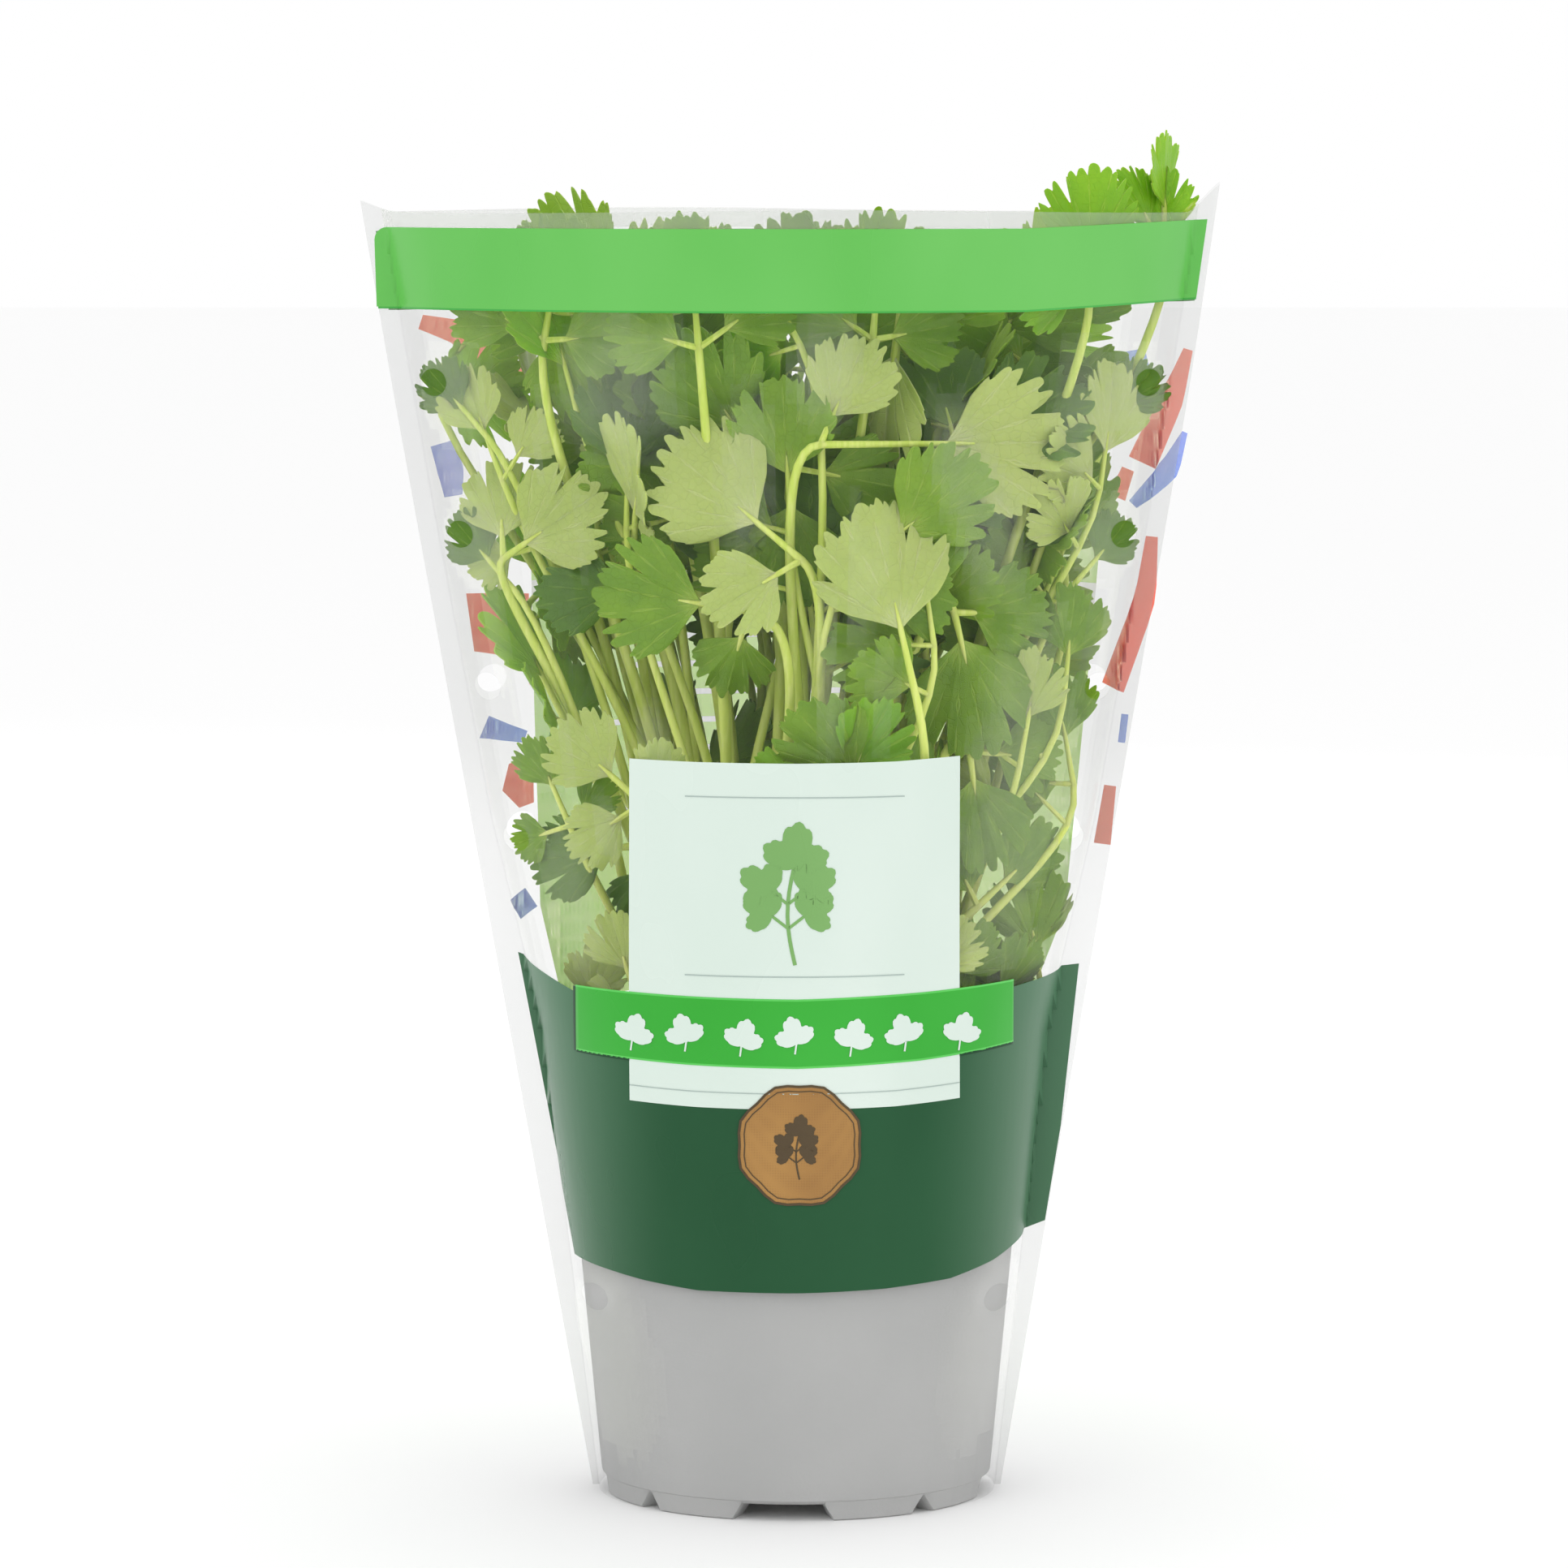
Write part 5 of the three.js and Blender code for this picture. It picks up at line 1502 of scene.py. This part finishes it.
def ribbon(points, widths):
    """The outline of a waving ribbon along (x, z) points, with its width at each."""
    points = np.array(points, float)
    t = np.linspace(0, 1, len(points))
    fine = np.linspace(0, 1, 9)
    line = np.stack([np.interp(fine, t, points[:, k]) for k in (0, 1)], axis=1)
    line[1:-1] = (line[:-2] + 2 * line[1:-1] + line[2:]) / 4
    half = np.interp(fine, t, np.array(widths)) / 2
    across = across_line(np.gradient(line, axis=0)) * half[:, None]
    return [tuple(p) for p in line + across][::-1] + [tuple(p) for p in line - across]


# Ribbons of the back's side pictures, as seen from the front: ink, middle line, widths along it.
RIBBONS = [
    ("red", [(-77.5, 242), (-68.5, 239.2), (-58.8, 229.2)], (3, 5.5, 6)),
    ("blue", [(-73, 217), (-71.5, 211), (-71, 206)], (5, 5, 3.5)),
    ("blue", [(-64.6, 158.2), (-60.4, 156.4), (-56.4, 155)], (4.5, 3.5, 2.5)),
    ("blue", [(-57.8, 123.4), (-55.6, 119)], (3, 3.5)),
    ("red", [(80.6, 236.5), (77.2, 226), (71.5, 213)], (2, 5, 5.5)),
    ("blue", [(80, 219.5), (76.7, 211.6), (69.7, 204.3)], (1.2, 4.5, 2)),
    ("red", [(68.8, 211.5), (66.6, 205.5)], (2.5, 3.5)),
    ("red", [(73.3, 198), (72, 185), (65.5, 166.5)], (2.5, 4.5, 4.5)),
    ("blue", [(67.9, 161.3), (67.2, 155.4)], (1.5, 1.5)),
    ("red", [(64.9, 146.5), (63.3, 134.4)], (2.5, 3.5)),
    ("blue", [(70, 236), (71.6, 229)], (4.5, 4.5)),
]
RED_BLOCKS = [
    [(-66.7, 173.8), (-57, 171.2), (-55.6, 165.5), (-55.9, 184.8), (-68.4, 185.8)],
    [(-61, 144.6), (-57.7, 140.5), (-54.8, 141.2), (-54.9, 151.4), (-59.7, 149.8)],
]
# The back's pale panel: heights, and its left and right edges there.
BACK_PANEL = np.array([(99.5, -49, 49), (120, -53.5, 56), (209, -56, 64.4)])
# What is printed in bars across it, from the top down: foot, height, half length (None for the whole
# width) and ink.
PANEL_BARS = [(202, 1.2, 34, "white"), (196, 1.2, 28, "white"), (183, 4.5, None, "cream")]
PANEL_BARS += [(174 - 6 * k, 1.2, 40 - 6 * (k % 3), "white") for k in range(9)]


def panel_strip(z0, z1, left=None, right=None):
    """The part of the back's panel between two heights, to its edges or to given places."""
    edges = [[np.interp(z, BACK_PANEL[:, 0], BACK_PANEL[:, k]) for k in (1, 2)] for z in (z0, z1)]
    (l0, r0), (l1, r1) = edges
    return [(l0 if left is None else left, z0), (r0 if right is None else right, z0),
            (r1 if right is None else right, z1), (l1 if left is None else left, z1)]


def build_back_print():
    press = Press(1)
    press.area("light_green", back_band())
    press.area("dark_green", back_dark_band())
    for ink, points, widths in RIBBONS:
        press.area(ink, ribbon(points, widths))
    for outline in RED_BLOCKS:
        press.area("red", outline)
    low, bend, top = BACK_PANEL[:, 0]
    for z, tall, half, ink in PANEL_BARS:
        press.area("pale_green", panel_strip(z + tall, top))
        if half is None:
            press.area(ink, panel_strip(z, z + tall))
        else:
            press.area("pale_green", panel_strip(z, z + tall, right=-half))
            press.area(ink, rectangle(-half, half, z, z + tall))
            press.area("pale_green", panel_strip(z, z + tall, left=half))
        top = z
    press.area("pale_green", panel_strip(bend, top))
    press.area("pale_green", panel_strip(low, bend))
    printed = press.finish("sleeve_print_back")
    punch_holes(printed)
    return printed


for printed in (build_front_print(), build_back_print()):
    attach(printed, "root")

# ---------------------------------------------------------------- floor, light and camera


# The rest is in metres.
FLOOR_HALF = 12.0
AIM = (0, 0, 0.14)
# Name, place, size and power of each lamp. All point at AIM.
LAMPS = [("key", (-0.9, -1.4, 1.3), (1.0, 1.0), 2.2), ("fill", (1.2, -1.2, 0.7), (1.2, 1.2), 0.8),
         ("top", (0, 0.1, 1.8), (1.4, 1.4), 2.5), ("rear", (0.5, 1.3, 0.9), (1.4, 0.9), 2.5)]
LENS = 167.3  # in millimetres, as is the sensor
SENSOR = 36
EYE = (-0.0025, -1.5, 0.2757)
PITCH = 4.91  # degrees down


def build_stage():
    """A wide, pale floor."""
    mesh = bpy.data.meshes.new("studio_floor")
    corners = [(x, y, 0) for x, y in rectangle(-FLOOR_HALF, FLOOR_HALF, -FLOOR_HALF, FLOOR_HALF)]
    mesh.from_pydata(corners, [], [(0, 1, 2, 3)])
    mesh.materials.append(material("studio_white", (0.97, 0.97, 0.97), 0.9, Specular_IOR_Level=0.1)[0])
    floor = bpy.data.objects.new("studio_floor", mesh)
    bpy.context.scene.collection.objects.link(floor)


def build_light():
    world = bpy.data.worlds.new("studio")
    world.use_nodes = True
    world.node_tree.nodes["Background"].inputs["Color"].default_value = (1, 1, 1, 1)
    world.node_tree.nodes["Background"].inputs["Strength"].default_value = 1.0
    bpy.context.scene.world = world
    for name, place, size, power in LAMPS:
        lamp = bpy.data.lights.new(name, "AREA")
        lamp.shape = "RECTANGLE"
        lamp.size, lamp.size_y = size
        lamp.energy = power
        made = bpy.data.objects.new(name, lamp)
        made.location = place
        made.rotation_euler = (Vector(AIM) - Vector(place)).to_track_quat("-Z", "Y").to_euler()
        bpy.context.scene.collection.objects.link(made)


def build_camera():
    data = bpy.data.cameras.new("camera")
    data.lens = LENS
    data.sensor_width = SENSOR
    data.clip_end = 50
    made = bpy.data.objects.new("camera", data)
    made.location = EYE
    made.rotation_euler = (math.radians(90 - PITCH), 0, 0)
    bpy.context.scene.collection.objects.link(made)
    bpy.context.scene.camera = made


build_stage()
build_light()
build_camera()
bpy.context.scene.view_settings.view_transform = "Standard"
